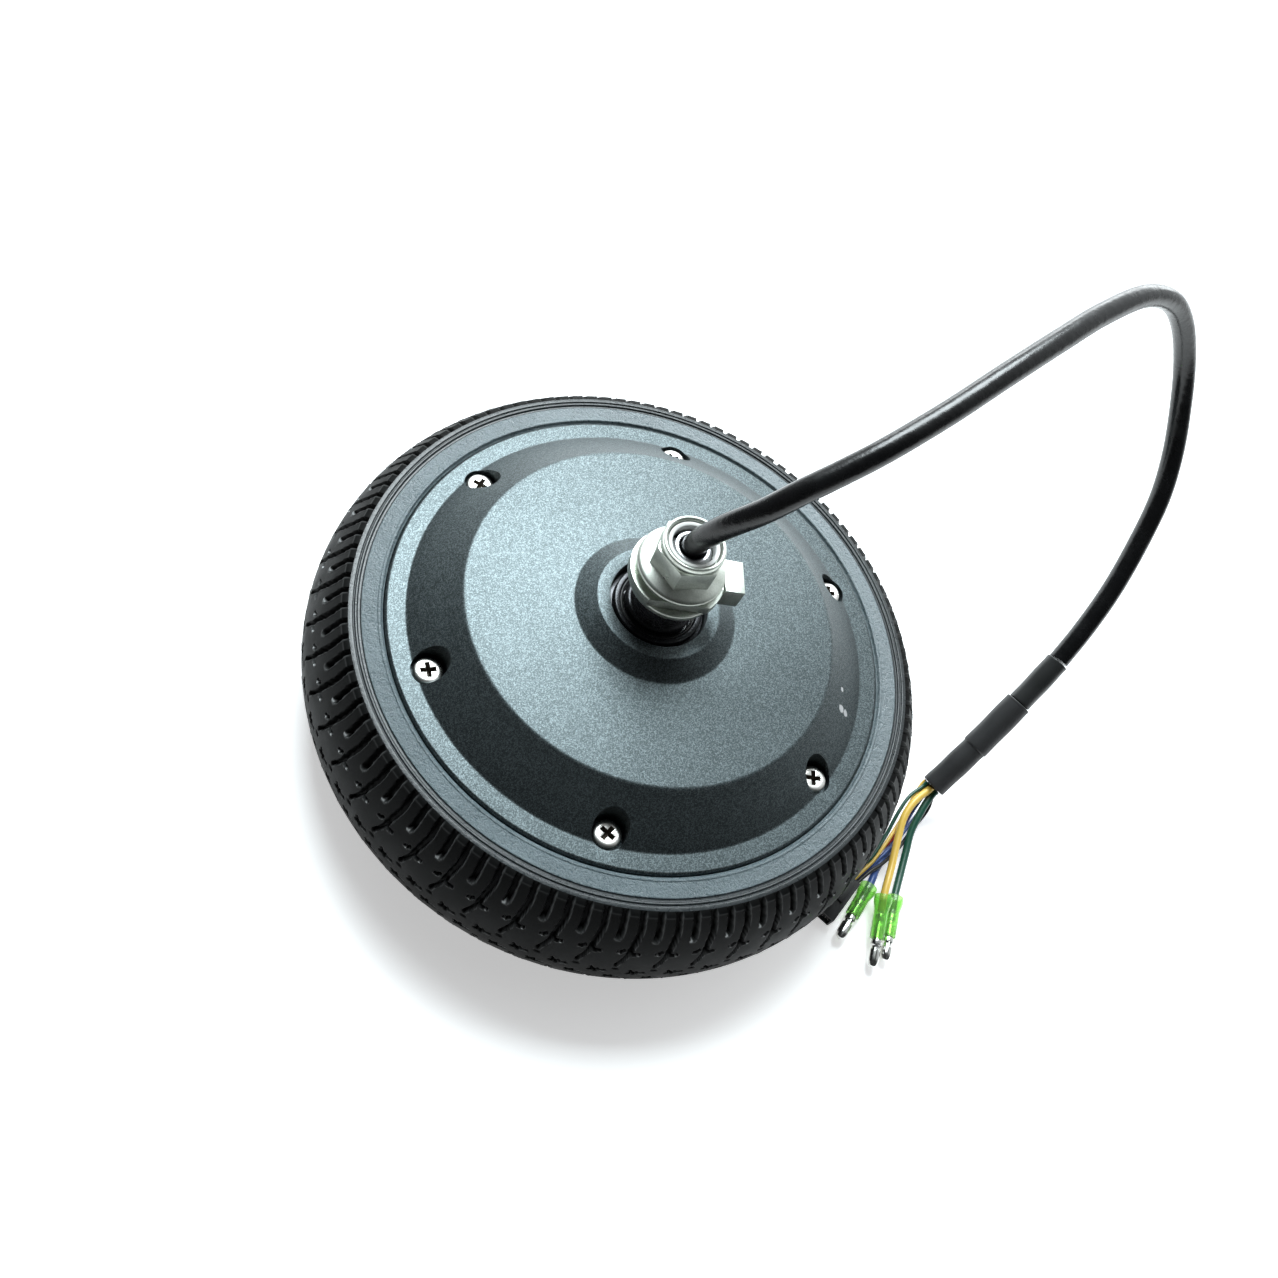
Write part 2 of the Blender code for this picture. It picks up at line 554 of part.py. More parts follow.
def make_axle_fasteners():
    finish(turned("round_washer", [
        (NUT_BORE_R, 79.7), (WASHER_R - 0.5, 79.7), (WASHER_R, 79.2), (WASHER_R, 77.9), (WASHER_R - 0.5, 77.4),
        (NUT_BORE_R, 77.4),
    ], MEDIUM_ROUND), ZINC)

    plate = drum("torque_washer", TORQUE_R, *TORQUE_Z, MEDIUM_ROUND)
    width = 2 * TORQUE_FLAT
    boolean(plate, block("washer_flats", (60.0, width, 20.0), (0.0, 0.0, 82.0), TORQUE_AZIMUTH), "INTERSECT")
    lug = block("washer_lug", LUG_SIZE, LUG_CENTRE, TORQUE_AZIMUTH)
    boolean(plate, lug, "UNION")
    boolean(plate, drum("washer_bore", NUT_BORE_R, 70.0, 90.0))
    bevel = plate.modifiers.new("edge", "BEVEL")
    bevel.width = 0.4 * MM
    bevel.segments = 1
    bevel.limit_method = "ANGLE"
    bevel.angle_limit = math.radians(50.0)
    finish(plate, ZINC, smooth=False)

    finish(turned("lock_washer", tube_outline(NUT_BORE_R, 10.3, 83.5, 85.4), SMALL_ROUND), ZINC)

    base, top = NUT_Z
    nut = turned("flange_nut", [
        (NUT_BORE_R, 94.6), (7.9, 94.6), (7.9, top - 0.3), (8.3, top), (9.0, top - 0.1), (9.45, top - 0.8),
        (9.45, 95.6), (8.6, 95.2), (8.6, base + 3.0), (NUT_FLANGE_R - 0.5, base + 1.6),
        (NUT_FLANGE_R, base + 1.1), (NUT_FLANGE_R, base), (NUT_BORE_R, base),
    ], MEDIUM_ROUND)
    hexagon = drum("nut_hexagon", NUT_CORNER_R, base + 0.8, 95.4, 6)
    hexagon.data.transform(Matrix.Rotation(math.radians(NUT_AZIMUTH), 4, "Z"))
    chamfer = turned("nut_chamfer", [
        (0.0, 95.4), (9.3, 95.4), (11.0, 94.3), (11.0, base), (0.0, base),
    ], MEDIUM_ROUND, closed=False)
    boolean(hexagon, chamfer, "INTERSECT")
    boolean(hexagon, drum("hexagon_bore", 8.2, base - 1.0, 99.0))
    boolean(nut, hexagon, "UNION")
    finish(nut, ZINC, smooth=False)
    finish(turned("nut_insert", tube_outline(NUT_BORE_R, 7.6, 94.9, 97.5), MEDIUM_ROUND), NYLON)


def make_cable():
    finish(cord("motor_cable", smooth_route(CABLE_ROUTE, 8.0), CABLE_R, 3), CABLE_PVC)
    for name, start, end, radius in SLEEVES:
        length = (Vector(end) - Vector(start)).length
        sleeve = turned(name, [
            (0.0, length), (radius - 0.5, length), (radius, length - 0.8), (radius, 0.8), (radius - 0.5, 0.0),
            (0.0, 0.0),
        ], TINY_ROUND, closed=False)
        finish(along(sleeve, start, end), SLEEVE)
    for wires, radius in ((PHASE_WIRES, PHASE_WIRE_R), (HALL_WIRES, HALL_WIRE_R)):
        for name, (offset, points) in wires.items():
            colour = WIRE_COLOURS[name.rsplit("_", 1)[1]]
            route = smooth_route(wire_route(offset, points), 3.0 + radius)
            finish(cord(name, route, radius), ("wire_pvc", colour, 0.35, 0.0))


def make_connectors():
    for colour, (mouth, tip, length) in BULLETS.items():
        total = (Vector(tip) - Vector(mouth)).length
        insulator = turned(f"bullet_insulator_{colour}", [
            (0.0, length), (INSULATOR_R - 0.2, length), (INSULATOR_R, length - 0.4), (INSULATOR_R, 4.5),
            (INSULATOR_MOUTH_R, 1.5), (INSULATOR_MOUTH_R, 0.3), (INSULATOR_MOUTH_R - 0.3, 0.0), (0.0, 0.0),
        ], TINY_ROUND, closed=False)
        finish(along(insulator, mouth, tip), GREEN_PVC)
        start = length + GAP
        terminal = turned(f"bullet_terminal_{colour}", [
            (0.0, total), (0.9, total), (TERMINAL_R, total - 1.3), (TERMINAL_R, start + 3.6), (1.45, start + 3.2),
            (1.45, start + 2.4), (TERMINAL_R, start + 2.0), (TERMINAL_R, start), (0.0, start),
        ], TINY_ROUND, closed=False)
        finish(along(terminal, mouth, tip), TIN)

    start, end = CONNECTOR_AXIS
    length = (Vector(end) - Vector(start)).length
    housing = block("hall_connector", (*CONNECTOR_SECTION, length), (0.0, 0.0, length / 2))
    latch = block("connector_latch", (2.2, 1.4, length * 0.5), (0.0, CONNECTOR_SECTION[1] / 2, length * 0.35))
    boolean(housing, latch, "UNION")
    along(housing, start, end)
    latch.rotation_euler = housing.rotation_euler
    latch.location = housing.location
    finish(housing, CONNECTOR_BLACK, smooth=False)


make_rolling_parts()
make_stator()
make_axle()
make_axle_fasteners()
make_cable()
make_connectors()
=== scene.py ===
"""Looks of the hub motor wheel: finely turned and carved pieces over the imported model."""

import math

import bmesh
import bpy
import numpy as np
from mathutils import Matrix, Vector


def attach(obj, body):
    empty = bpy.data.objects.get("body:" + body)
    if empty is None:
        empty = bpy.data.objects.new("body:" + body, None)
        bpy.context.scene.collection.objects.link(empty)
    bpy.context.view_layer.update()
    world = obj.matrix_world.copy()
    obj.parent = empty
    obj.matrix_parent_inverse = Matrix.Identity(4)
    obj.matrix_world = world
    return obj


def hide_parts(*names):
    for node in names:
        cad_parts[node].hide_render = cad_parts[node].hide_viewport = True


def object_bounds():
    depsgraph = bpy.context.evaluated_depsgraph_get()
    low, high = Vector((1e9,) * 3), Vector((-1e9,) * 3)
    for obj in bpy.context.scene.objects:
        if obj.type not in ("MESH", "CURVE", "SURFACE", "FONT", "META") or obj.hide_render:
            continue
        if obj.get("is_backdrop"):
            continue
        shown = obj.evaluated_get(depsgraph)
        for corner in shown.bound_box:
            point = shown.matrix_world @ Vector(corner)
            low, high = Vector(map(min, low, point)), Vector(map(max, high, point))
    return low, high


MM = 0.001
UP = Vector((0.0, 0.0, 1.0))
TINY = 1e-6
FULL_TURN = 2.0 * math.pi

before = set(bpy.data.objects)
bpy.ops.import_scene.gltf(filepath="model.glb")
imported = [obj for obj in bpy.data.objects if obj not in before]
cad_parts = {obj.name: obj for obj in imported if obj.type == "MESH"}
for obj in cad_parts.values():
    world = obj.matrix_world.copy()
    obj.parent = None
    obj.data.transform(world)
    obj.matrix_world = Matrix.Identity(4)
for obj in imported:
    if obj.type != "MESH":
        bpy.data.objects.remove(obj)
CAD_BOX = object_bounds()
scene = bpy.context.scene


# ---- camera

CAMERA_AT = Vector((0.0, -215.4, 360.8)) * MM
CAMERA_TO = Vector((0.6, 15.0, 21.4)) * MM
CAMERA_ROLL = math.radians(31.6)
CAMERA_FOCAL = 1230.0
IMAGE_SIDE = 1278.0
SENSOR = 36.0


def make_camera():
    ahead = (CAMERA_TO - CAMERA_AT).normalized()
    level = ahead.cross(UP).normalized()
    above = level.cross(ahead)
    right = math.cos(CAMERA_ROLL) * level + math.sin(CAMERA_ROLL) * above
    up = -math.sin(CAMERA_ROLL) * level + math.cos(CAMERA_ROLL) * above
    data = bpy.data.cameras.new("camera")
    data.sensor_width = SENSOR
    data.lens = SENSOR * CAMERA_FOCAL / IMAGE_SIDE
    data.clip_start = 0.01
    obj = bpy.data.objects.new("camera", data)
    turn = Matrix((right, up, -ahead)).transposed().to_4x4()
    obj.matrix_world = Matrix.Translation(CAMERA_AT) @ turn
    scene.collection.objects.link(obj)
    scene.camera = obj


make_camera()


# ---- mesh helpers

def polar(radius, degrees):
    at = math.radians(degrees)
    return Vector((radius * math.cos(at), radius * math.sin(at), 0.0))


def new_object(name, mesh, material):
    obj = bpy.data.objects.new(name, mesh)
    scene.collection.objects.link(obj)
    if material is not None:
        mesh.materials.append(material)
    return obj


def mesh_from(name, verts, faces):
    mesh = bpy.data.meshes.new(name)
    mesh.from_pydata([tuple(v) for v in verts], [], faces)
    mesh.update()
    return mesh


def softened(outline, radius, steps=3):
    """An outline whose corners are rounded: each point is (r, z) or (r, z, corner radius)."""
    points = [Vector(p[:2]) for p in outline]
    radii = [p[2] if len(p) > 2 else radius for p in outline]
    result = []
    last = len(points) - 1
    for index, point in enumerate(points):
        if index in (0, last) or radii[index] <= 0.0:
            result.append(point)
            continue
        back = points[index - 1] - point
        ahead = points[index + 1] - point
        if min(back.length, ahead.length) < TINY:
            result.append(point)
            continue
        reach = min(radii[index], 0.45 * back.length, 0.45 * ahead.length)
        start = point + back.normalized() * reach
        end = point + ahead.normalized() * reach
        for step in range(steps + 1):
            t = step / steps
            result.append(start * (1 - t) ** 2 + point * 2 * t * (1 - t) + end * t ** 2)
    return result


def ring_points(outline, segments, turn=0.0):
    """The outline turned about the Z axis; points on the axis are shared."""
    verts, rows = [], []
    for radius, height in outline:
        if radius < TINY:
            rows.append([len(verts)] * segments)
            verts.append((0.0, 0.0, height * MM))
            continue
        row = []
        for index in range(segments):
            at = polar(radius, turn + 360.0 * index / segments)
            row.append(len(verts))
            verts.append((at.x * MM, at.y * MM, height * MM))
        rows.append(row)
    return verts, rows


def turned(name, outline, material, segments=192, radius=0.25, closed=True, angle=35.0, turn=0.0):
    """A solid turned about the Z axis; closed joins the outline's last point to its first."""
    if closed:
        first = (Vector(outline[0][:2]) + Vector(outline[-1][:2])) / 2
        loop = [tuple(first)] + list(outline) + [tuple(first)]
        path = softened(loop, radius)[:-1]
    else:
        path = softened(outline, radius)
    verts, rows = ring_points(path, segments, turn)
    faces = []
    pairs = list(zip(rows, rows[1:]))
    if closed:
        pairs.append((rows[-1], rows[0]))
    for low, high in pairs:
        for index in range(segments):
            after = (index + 1) % segments
            corners = [low[index], low[after], high[after], high[index]]
            face = list(dict.fromkeys(corners))
            if len(face) > 2:
                faces.append(face)
    mesh = mesh_from(name, verts, faces)
    tidy_normals(mesh, angle)
    return new_object(name, mesh, material)


def tidy_normals(mesh, angle=35.0):
    builder = bmesh.new()
    builder.from_mesh(mesh)
    bmesh.ops.recalc_face_normals(builder, faces=builder.faces)
    builder.to_mesh(mesh)
    builder.free()
    mesh.shade_smooth()
    mesh.set_sharp_from_angle(angle=math.radians(angle))


def moved(obj, matrix):
    obj.data.transform(matrix)
    return obj


def cut(obj, tool, how="DIFFERENCE"):
    """Boolean obj by tool and drop the tool."""
    modifier = obj.modifiers.new("cut", "BOOLEAN")
    modifier.operation = how
    modifier.object = tool
    modifier.solver = "EXACT"
    bake(obj)
    bpy.data.objects.remove(tool)
    return obj


def bake(obj, angle=35.0):
    """Apply every modifier on obj."""
    bpy.context.view_layer.update()
    evaluated = obj.evaluated_get(bpy.context.evaluated_depsgraph_get())
    mesh = bpy.data.meshes.new_from_object(evaluated)
    obj.modifiers.clear()
    obj.data = mesh
    mesh.shade_smooth()
    mesh.set_sharp_from_angle(angle=math.radians(angle))
    return obj


def bevelled(obj, width, segments=2, limit=40.0):
    modifier = obj.modifiers.new("edge", "BEVEL")
    modifier.width = width * MM
    modifier.segments = segments
    modifier.limit_method = "ANGLE"
    modifier.angle_limit = math.radians(limit)
    return bake(obj)


def block(name, size, centre, turn=0.0, material=None):
    builder = bmesh.new()
    bmesh.ops.create_cube(builder, size=1.0)
    bmesh.ops.scale(builder, vec=Vector(size) * MM, verts=builder.verts)
    bmesh.ops.translate(builder, vec=Vector(centre) * MM, verts=builder.verts)
    bmesh.ops.rotate(builder, matrix=Matrix.Rotation(math.radians(turn), 3, "Z"), verts=builder.verts)
    mesh = bpy.data.meshes.new(name)
    builder.to_mesh(mesh)
    builder.free()
    return new_object(name, mesh, material)


def along(obj, start, end):
    """Lay a piece built up the Z axis from the origin along a line."""
    direction = Vector(end) - Vector(start)
    turn = direction.to_track_quat("Z", "Y").to_matrix().to_4x4()
    obj.data.transform(Matrix.Translation(Vector(start) * MM) @ turn)
    return obj


def settle(obj, body, slot, *nodes):
    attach(obj, body)
    if nodes:
        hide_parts(*nodes)
    return obj


# ---- materials

class Look:
    """A node material under construction: texture positions are metres in the object's own frame."""

    def __init__(self, name, colour, roughness, metallic=0.0, **sockets):
        self.material = bpy.data.materials.new(name)
        self.material.use_nodes = True
        self.tree = self.material.node_tree
        self.shader = self.tree.nodes["Principled BSDF"]
        self.shader.inputs["Base Color"].default_value = (*colour, 1.0)
        self.shader.inputs["Roughness"].default_value = roughness
        self.shader.inputs["Metallic"].default_value = metallic
        for socket, value in sockets.items():
            self.shader.inputs[socket.replace("_", " ")].default_value = value
        self.place = self.node("ShaderNodeTexCoord").outputs["Object"]
        self.normal = None

    def node(self, kind, **values):
        made = self.tree.nodes.new(kind)
        for key, value in values.items():
            setattr(made, key, value)
        return made

    def link(self, source, target):
        self.tree.links.new(source, target)

    def noise(self, size, detail=3.0, roughness=0.55, distortion=0.0):
        made = self.node("ShaderNodeTexNoise")
        made.inputs["Scale"].default_value = 1.0 / (size * MM)
        made.inputs["Detail"].default_value = detail
        made.inputs["Roughness"].default_value = roughness
        made.inputs["Distortion"].default_value = distortion
        self.link(self.place, made.inputs["Vector"])
        return made.outputs["Fac"]

    def cells(self, size):
        made = self.node("ShaderNodeTexVoronoi")
        made.inputs["Scale"].default_value = 1.0 / (size * MM)
        self.link(self.place, made.inputs["Vector"])
        return made.outputs["Color"]

    def math(self, how, first, second=None, third=None, clamp=False):
        made = self.node("ShaderNodeMath", operation=how, use_clamp=clamp)
        for socket, value in zip(made.inputs, (first, second, third)):
            if value is None:
                continue
            if isinstance(value, (int, float)):
                socket.default_value = value
            else:
                self.link(value, socket)
        return made.outputs[0]

    def ramp(self, factor, *stops):
        """Map a factor to colours or greys: stops are (position, colour or number)."""
        made = self.node("ShaderNodeValToRGB")
        while len(made.color_ramp.elements) < len(stops):
            made.color_ramp.elements.new(0.5)
        for element, (position, value) in zip(made.color_ramp.elements, stops):
            element.position = position
            grey = isinstance(value, (int, float))
            element.color = (value, value, value, 1.0) if grey else (*value, 1.0)
        self.link(factor, made.inputs[0])
        return made.outputs[0]

    def mix(self, factor, first, second):
        made = self.node("ShaderNodeMix", data_type="RGBA")
        for index, value in ((0, factor), (6, first), (7, second)):
            if isinstance(value, (int, float)):
                made.inputs[index].default_value = value
            elif isinstance(value, tuple):
                made.inputs[index].default_value = (*value, 1.0)
            else:
                self.link(value, made.inputs[index])
        return made.outputs[2]

    def split(self):
        """The place's x, y and z in metres, and its distance from the spin axis."""
        made = self.node("ShaderNodeSeparateXYZ")
        self.link(self.place, made.inputs[0])
        x, y, z = made.outputs
        square = self.math("ADD", self.math("MULTIPLY", x, x), self.math("MULTIPLY", y, y))
        return x, y, z, self.math("SQRT", square)

    def colour(self, source):
        self.link(source, self.shader.inputs["Base Color"])

    def rough(self, source):
        self.link(source, self.shader.inputs["Roughness"])

    def bump(self, height, depth):
        """Add a bump of that many millimetres."""
        made = self.node("ShaderNodeBump")
        made.inputs["Strength"].default_value = 1.0
        made.inputs["Distance"].default_value = depth * MM
        self.link(height, made.inputs["Height"])
        if self.normal is not None:
            self.link(self.normal, made.inputs["Normal"])
        self.normal = made.outputs["Normal"]
        self.link(self.normal, self.shader.inputs["Normal"])


def coat_look(name, dark, light, chips=()):
    """Metallic powder coat: fine flake, a soft orange peel and chips (x, y, size) down to metal."""
    look = Look(name, dark, 0.42, 0.85)
    flake = look.cells(0.28)
    grain = look.noise(0.40, 3.0, 0.75)
    cloud = look.noise(38.0, 3.0, 0.5)
    flake_value = look.ramp(flake, (0.36, 0.0), (0.92, 1.0))
    tone = look.math("MULTIPLY_ADD", flake_value, 0.72, look.math("MULTIPLY", grain, 0.38), clamp=True)
    tone = look.math("MULTIPLY_ADD", look.math("SUBTRACT", cloud, 0.5), 0.20, tone, clamp=True)
    colour = look.mix(tone, dark, light)
    if chips:
        x, y, _, _ = look.split()
        ragged = look.noise(1.1, 4.0, 0.75)
        bare = None
        for cx, cy, size in chips:
            dx = look.math("MULTIPLY", look.math("SUBTRACT", x, cx * MM), 1.0 / (size * MM))
            dy = look.math("MULTIPLY", look.math("SUBTRACT", y, cy * MM), 1.0 / (size * MM))
            square = look.math("ADD", look.math("MULTIPLY", dx, dx), look.math("MULTIPLY", dy, dy))
            spot = look.math("SUBTRACT", 1.35, look.math("ADD", square, look.math("MULTIPLY", ragged, 1.5)))
            bare = spot if bare is None else look.math("MAXIMUM", bare, spot)
        bare = look.math("MULTIPLY", bare, 6.0, clamp=True)
        colour = look.mix(bare, colour, (0.62, 0.63, 0.64))
    look.colour(colour)
    look.rough(look.ramp(grain, (0.25, 0.34), (0.75, 0.50)))
    look.bump(grain, 0.022)
    look.bump(flake_value, 0.016)
    look.bump(look.noise(2.4, 2.0, 0.5), 0.012)
    return look.material


def rubber_look(name, colour, dust, roughness, wrinkle=0.05):
    look = Look(name, colour, roughness)
    fine = look.noise(0.5, 4.0, 0.65)
    broad = look.noise(14.0, 4.0, 0.6)
    shade = look.math("MULTIPLY_ADD", fine, 0.35, look.math("MULTIPLY", broad, 0.7), clamp=True)
    look.colour(look.ramp(shade, (0.35, colour), (0.85, dust)))
    look.rough(look.ramp(broad, (0.3, roughness - 0.07), (0.75, roughness + 0.12)))
    look.bump(fine, 0.03)
    look.bump(look.noise(2.2, 4.0, 0.6, distortion=0.6), wrinkle)
    return look.material


def metal_look(name, dark, light, roughness, metallic=1.0, scratch=0.01, grain=0.4):
    look = Look(name, light, roughness, metallic)
    fine = look.noise(grain, 4.0, 0.65)
    broad = look.noise(5.0, 4.0, 0.65)
    shade = look.math("MULTIPLY_ADD", fine, 0.4, look.math("MULTIPLY", broad, 0.6), clamp=True)
    look.colour(look.ramp(shade, (0.30, dark), (0.62, light)))
    look.rough(look.ramp(shade, (0.30, roughness + 0.12), (0.65, roughness - 0.03)))
    look.bump(fine, scratch)
    return look.material


def plastic_look(name, colour, roughness, depth=0.02, size=0.8, dust=0.2, **sockets):
    look = Look(name, colour, roughness, 0.0, **sockets)
    fine = look.noise(size, 4.0, 0.6)
    broad = look.noise(9.0, 3.0, 0.6)
    pale = tuple(min(1.0, c * 1.5 + 0.006) for c in colour)
    look.colour(look.mix(look.math("MULTIPLY", broad, dust), colour, pale))
    look.rough(look.ramp(broad, (0.3, roughness - 0.04), (0.8, roughness + 0.12)))
    look.bump(fine, depth)
    return look.material


def sidewall_look(name, dark, light, shine, crease):
    """Smooth moulded rubber: leathery creases, fine radial ticks and a slight shine."""
    look = Look(name, dark, 0.3, 0.0, Specular_IOR_Level=shine)
    x, y, _, _ = look.split()
    fine = look.noise(0.55, 4.0, 0.65)
    broad = look.noise(16.0, 4.0, 0.6)
    creases = look.noise(1.2, 5.0, 0.70)
    shade = look.math("MULTIPLY_ADD", fine, 0.3, look.math("MULTIPLY", broad, 0.7), clamp=True)
    look.colour(look.ramp(shade, (0.30, dark), (0.80, light)))
    look.rough(look.ramp(creases, (0.3, 0.24), (0.8, 0.40)))
    around = look.math("MULTIPLY", look.math("ARCTAN2", y, x), TICK_COUNT / FULL_TURN)
    tick = look.math("MULTIPLY", look.math("LESS_THAN", look.math("FRACT", around), 0.10), 1.0 - crease)
    look.bump(fine, 0.03)
    look.bump(creases, 0.68 * crease + 0.05)
    look.bump(tick, 0.05)
    return look.material


def tread_look():
    """The carved tread: dull black rubber of random tone, with painted highlights: pale glint spots and pale
    lines along the lips.
    """
    look = Look("tyre_tread", (0.006, 0.0062, 0.0062), 0.5, 0.0, Specular_IOR_Level=0.05)
    fine = look.noise(0.5, 4.0, 0.65)
    broad = look.noise(12.0, 4.0, 0.6)
    shade = look.math("MULTIPLY_ADD", fine, 0.35, look.math("MULTIPLY", broad, 0.65), clamp=True)
    rubber = look.ramp(shade, (0.35, (0.0040, 0.0042, 0.0042)), (0.85, (0.0095, 0.0098, 0.0096)))
    # Painted highlight: a pale grey is mixed in where the mesh attribute marks glint spots and the lines
    # along the lips.
    painted_highlight = look.node("ShaderNodeAttribute", attribute_name="painted_highlight").outputs["Fac"]
    look.colour(look.mix(painted_highlight, rubber, (0.50, 0.51, 0.51)))
    look.rough(look.ramp(broad, (0.30, 0.40), (0.75, 0.60)))
    look.bump(fine, 0.02)
    look.bump(look.noise(3.0, 3.0, 0.6), 0.03)
    return look.material


def winding_look():
    look = Look("winding_copper", (0.42, 0.14, 0.04), 0.3, 0.8)
    _, _, _, r = look.split()
    turns = look.math("SINE", look.math("MULTIPLY", r, FULL_TURN / (WIRE_PITCH * MM)))
    look.colour(look.ramp(look.noise(3.0), (0.3, (0.30, 0.09, 0.025)), (0.7, (0.52, 0.19, 0.06))))
    look.rough(look.ramp(look.noise(1.0), (0.3, 0.26), (0.7, 0.42)))
    look.bump(turns, 0.1)
    return look.material


TICK_COUNT = 240
WIRE_PITCH = 0.8
COVER_CHIPS = [(64.9, 9.0, 1.6), (67.0, 9.6, 1.4), (62.4, 14.7, 0.9)]
COVER = coat_look("cover_coat", (0.026, 0.033, 0.035), (0.149, 0.179, 0.187), COVER_CHIPS)
SHELL = coat_look("shell_coat", (0.026, 0.034, 0.036), (0.134, 0.166, 0.174))
# Painted sheen: the band's pale blue-grey is far lighter than the black rubber of the ridges and tread,
# standing in for its glossy reflection.
SIDEWALL_SHEEN = sidewall_look("tyre_sidewall_painted_sheen", (0.072, 0.103, 0.115), (0.132, 0.179, 0.197), 0.9, 1.0)
RIDGES = sidewall_look("tyre_ridges", (0.010, 0.0135, 0.015), (0.022, 0.028, 0.031), 0.50, 0.1)
TREAD = tread_look()
ZINC = metal_look("zinc_plate", (0.40, 0.43, 0.38), (0.70, 0.74, 0.68), 0.30, 0.95)
NICKEL = metal_look("nickel_plate", (0.50, 0.49, 0.46), (0.86, 0.85, 0.81), 0.27)
# Painted shade: a dark brown metal for the faces inside the screw recesses.
RECESS_SHADE = metal_look("recess_painted_shade", (0.030, 0.024, 0.018), (0.14, 0.115, 0.09), 0.5, 0.6)
TIN = metal_look("tin_plate", (0.45, 0.45, 0.43), (0.85, 0.85, 0.82), 0.17)
STEEL = metal_look("ground_steel", (0.30, 0.30, 0.31), (0.60, 0.60, 0.62), 0.28)
BLACK_STEEL = metal_look("black_steel", (0.010, 0.010, 0.011), (0.045, 0.046, 0.050), 0.24, 0.7)
BRIGHT_STEEL = metal_look("turned_steel", (0.38, 0.39, 0.40), (0.70, 0.71, 0.72), 0.25)
LAMINATION = metal_look("lamination_steel", (0.16, 0.16, 0.17), (0.34, 0.34, 0.36), 0.40)
MAGNET = metal_look("magnet_nickel", (0.34, 0.34, 0.35), (0.58, 0.58, 0.59), 0.33)
ALLOY = metal_look("cast_alloy", (0.42, 0.43, 0.44), (0.66, 0.67, 0.68), 0.45, 1.0, 0.05, 0.8)
COPPER = winding_look()
SEAL = rubber_look("seal_rubber", (0.008, 0.008, 0.008), (0.03, 0.03, 0.03), 0.35, 0.02)
GASKET = plastic_look("gasket_paper", (0.10, 0.09, 0.075), 0.8)
BOARD = plastic_look("circuit_board", (0.015, 0.12, 0.04), 0.35)
NYLON = plastic_look("nylon", (0.62, 0.62, 0.60), 0.4, dust=0.1)
CABLE = plastic_look("cable_pvc", (0.0035, 0.0036, 0.004), 0.23, 0.12, 2.5, 0.3)
SHRINK_GLOSS = plastic_look("shrink_sleeve_gloss", (0.020, 0.021, 0.021), 0.36, 0.05, 2.5, 0.4)
SHRINK = plastic_look("shrink_sleeve", (0.022, 0.022, 0.023), 0.50, 0.05, 1.6, 0.5)
CONNECTOR = plastic_look("connector_nylon", (0.012, 0.012, 0.012), 0.42, 0.02, 0.8, 0.4)
WIRE_COLOURS = {
    "yellow": (0.78, 0.50, 0.09), "green": (0.006, 0.065, 0.040), "blue": (0.035, 0.085, 0.28),
    "red": (0.42, 0.025, 0.02), "black": (0.01, 0.01, 0.01),
}
WIRE = {name: plastic_look(f"wire_{name}", colour, 0.32, 0.01) for name, colour in WIRE_COLOURS.items()}
INSULATOR = plastic_look("insulator_vinyl", (0.48, 0.93, 0.28), 0.18, 0.02, 1.0, 0.1,
                         Transmission_Weight=0.85, IOR=1.4)

INNER_LOOKS = {
    "cover_gasket": GASKET, "flux_ring": LAMINATION, "magnet_ring": MAGNET, "stator_core": LAMINATION,
    "stator_winding": COPPER, "stator_carrier": ALLOY, "hall_sensor_board": BOARD,
    **{f"{end}_bearing_{ring}": STEEL
       for end in ("front", "rear") for ring in ("outer_race", "inner_race", "balls")},
}


def colour_inner_pieces():
    """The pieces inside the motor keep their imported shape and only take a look."""
    for node, look in INNER_LOOKS.items():
        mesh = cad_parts[node].data
        if not mesh.materials:
            mesh.materials.append(look)
        for index in range(len(mesh.materials)):
            mesh.materials[index] = look


colour_inner_pieces()


# ---- cable, sleeves and wires

GAP = 0.3
CABLE_R = 3.5
CABLE_ROUTE = [
    (0, 0, 72), (0, 0, 84), (0, 0, 97), (4, 0.5, 108.5), (11, 4, 119), (17, 10, 127), (23, 17, 133),
    (30, 27, 139), (39, 44, 145), (48, 64, 150), (57, 85, 153), (65, 104, 154), (75, 124, 153),
    (85, 137, 148), (94, 144, 139.5), (103.5, 147.5, 127.5), (112, 145.5, 115.5), (120.5, 138, 102.5),
    (126, 128, 91), (128.5, 115, 79.5), (129.4, 101.5, 68.8), (128.6, 88.8, 59.2), (127, 78, 51),
]
SLEEVES = [
    ("sleeve_thin", "cable_sleeve_thin", (126.9, 77.4, 50.5), (123.6, 63.4, 38.5), 4.1, SHRINK_GLOSS),
    ("sleeve_middle", "cable_sleeve_middle", (123.5, 63.0, 38.2), (119.2, 47.2, 24.6), 4.8, SHRINK),
    ("sleeve_end", "cable_sleeve_end", (119.1, 46.8, 24.3), (114.7, 33.1, 12.1), 4.5, SHRINK),
]
SLEEVE_ROWS = 30
SLEEVE_OVERLAP = 0.34
PHASE_WIRE_R = 1.3
HALL_WIRE_R = 0.65
PHASE_WIRES = {
    "phase_wire_yellow": ((0.3, 1.9), [
        (110.9, 24.3, 11.2), (109.9, 17.6, 9.8), (111.0, 10.3, 8.3),
        (112.9, 0.0, 7.0), (113.7, -7.0, 6.8), (114.3, -11.1, 6.4),
    ]),
    "phase_wire_green": ((-1.9, -0.1), [
        (115.3, 25.2, 8.6), (115.2, 16.5, 6.0), (116.6, 9.1, 4.4),
        (117.9, 0.6, 3.4), (118.5, -5.2, 3.4), (118.84, -7.65, 3.4),
    ]),
    "phase_wire_blue": ((0.9, -1.8), [
        (113.2, 25.0, 3.5), (112.9, 18.0, 1.7), (111.6, 8.0, 1.6),
        (110.0, -1.0, 2.1), (109.6, -6.0, 3.3), (109.45, -9.25, 3.4),
    ]),
}
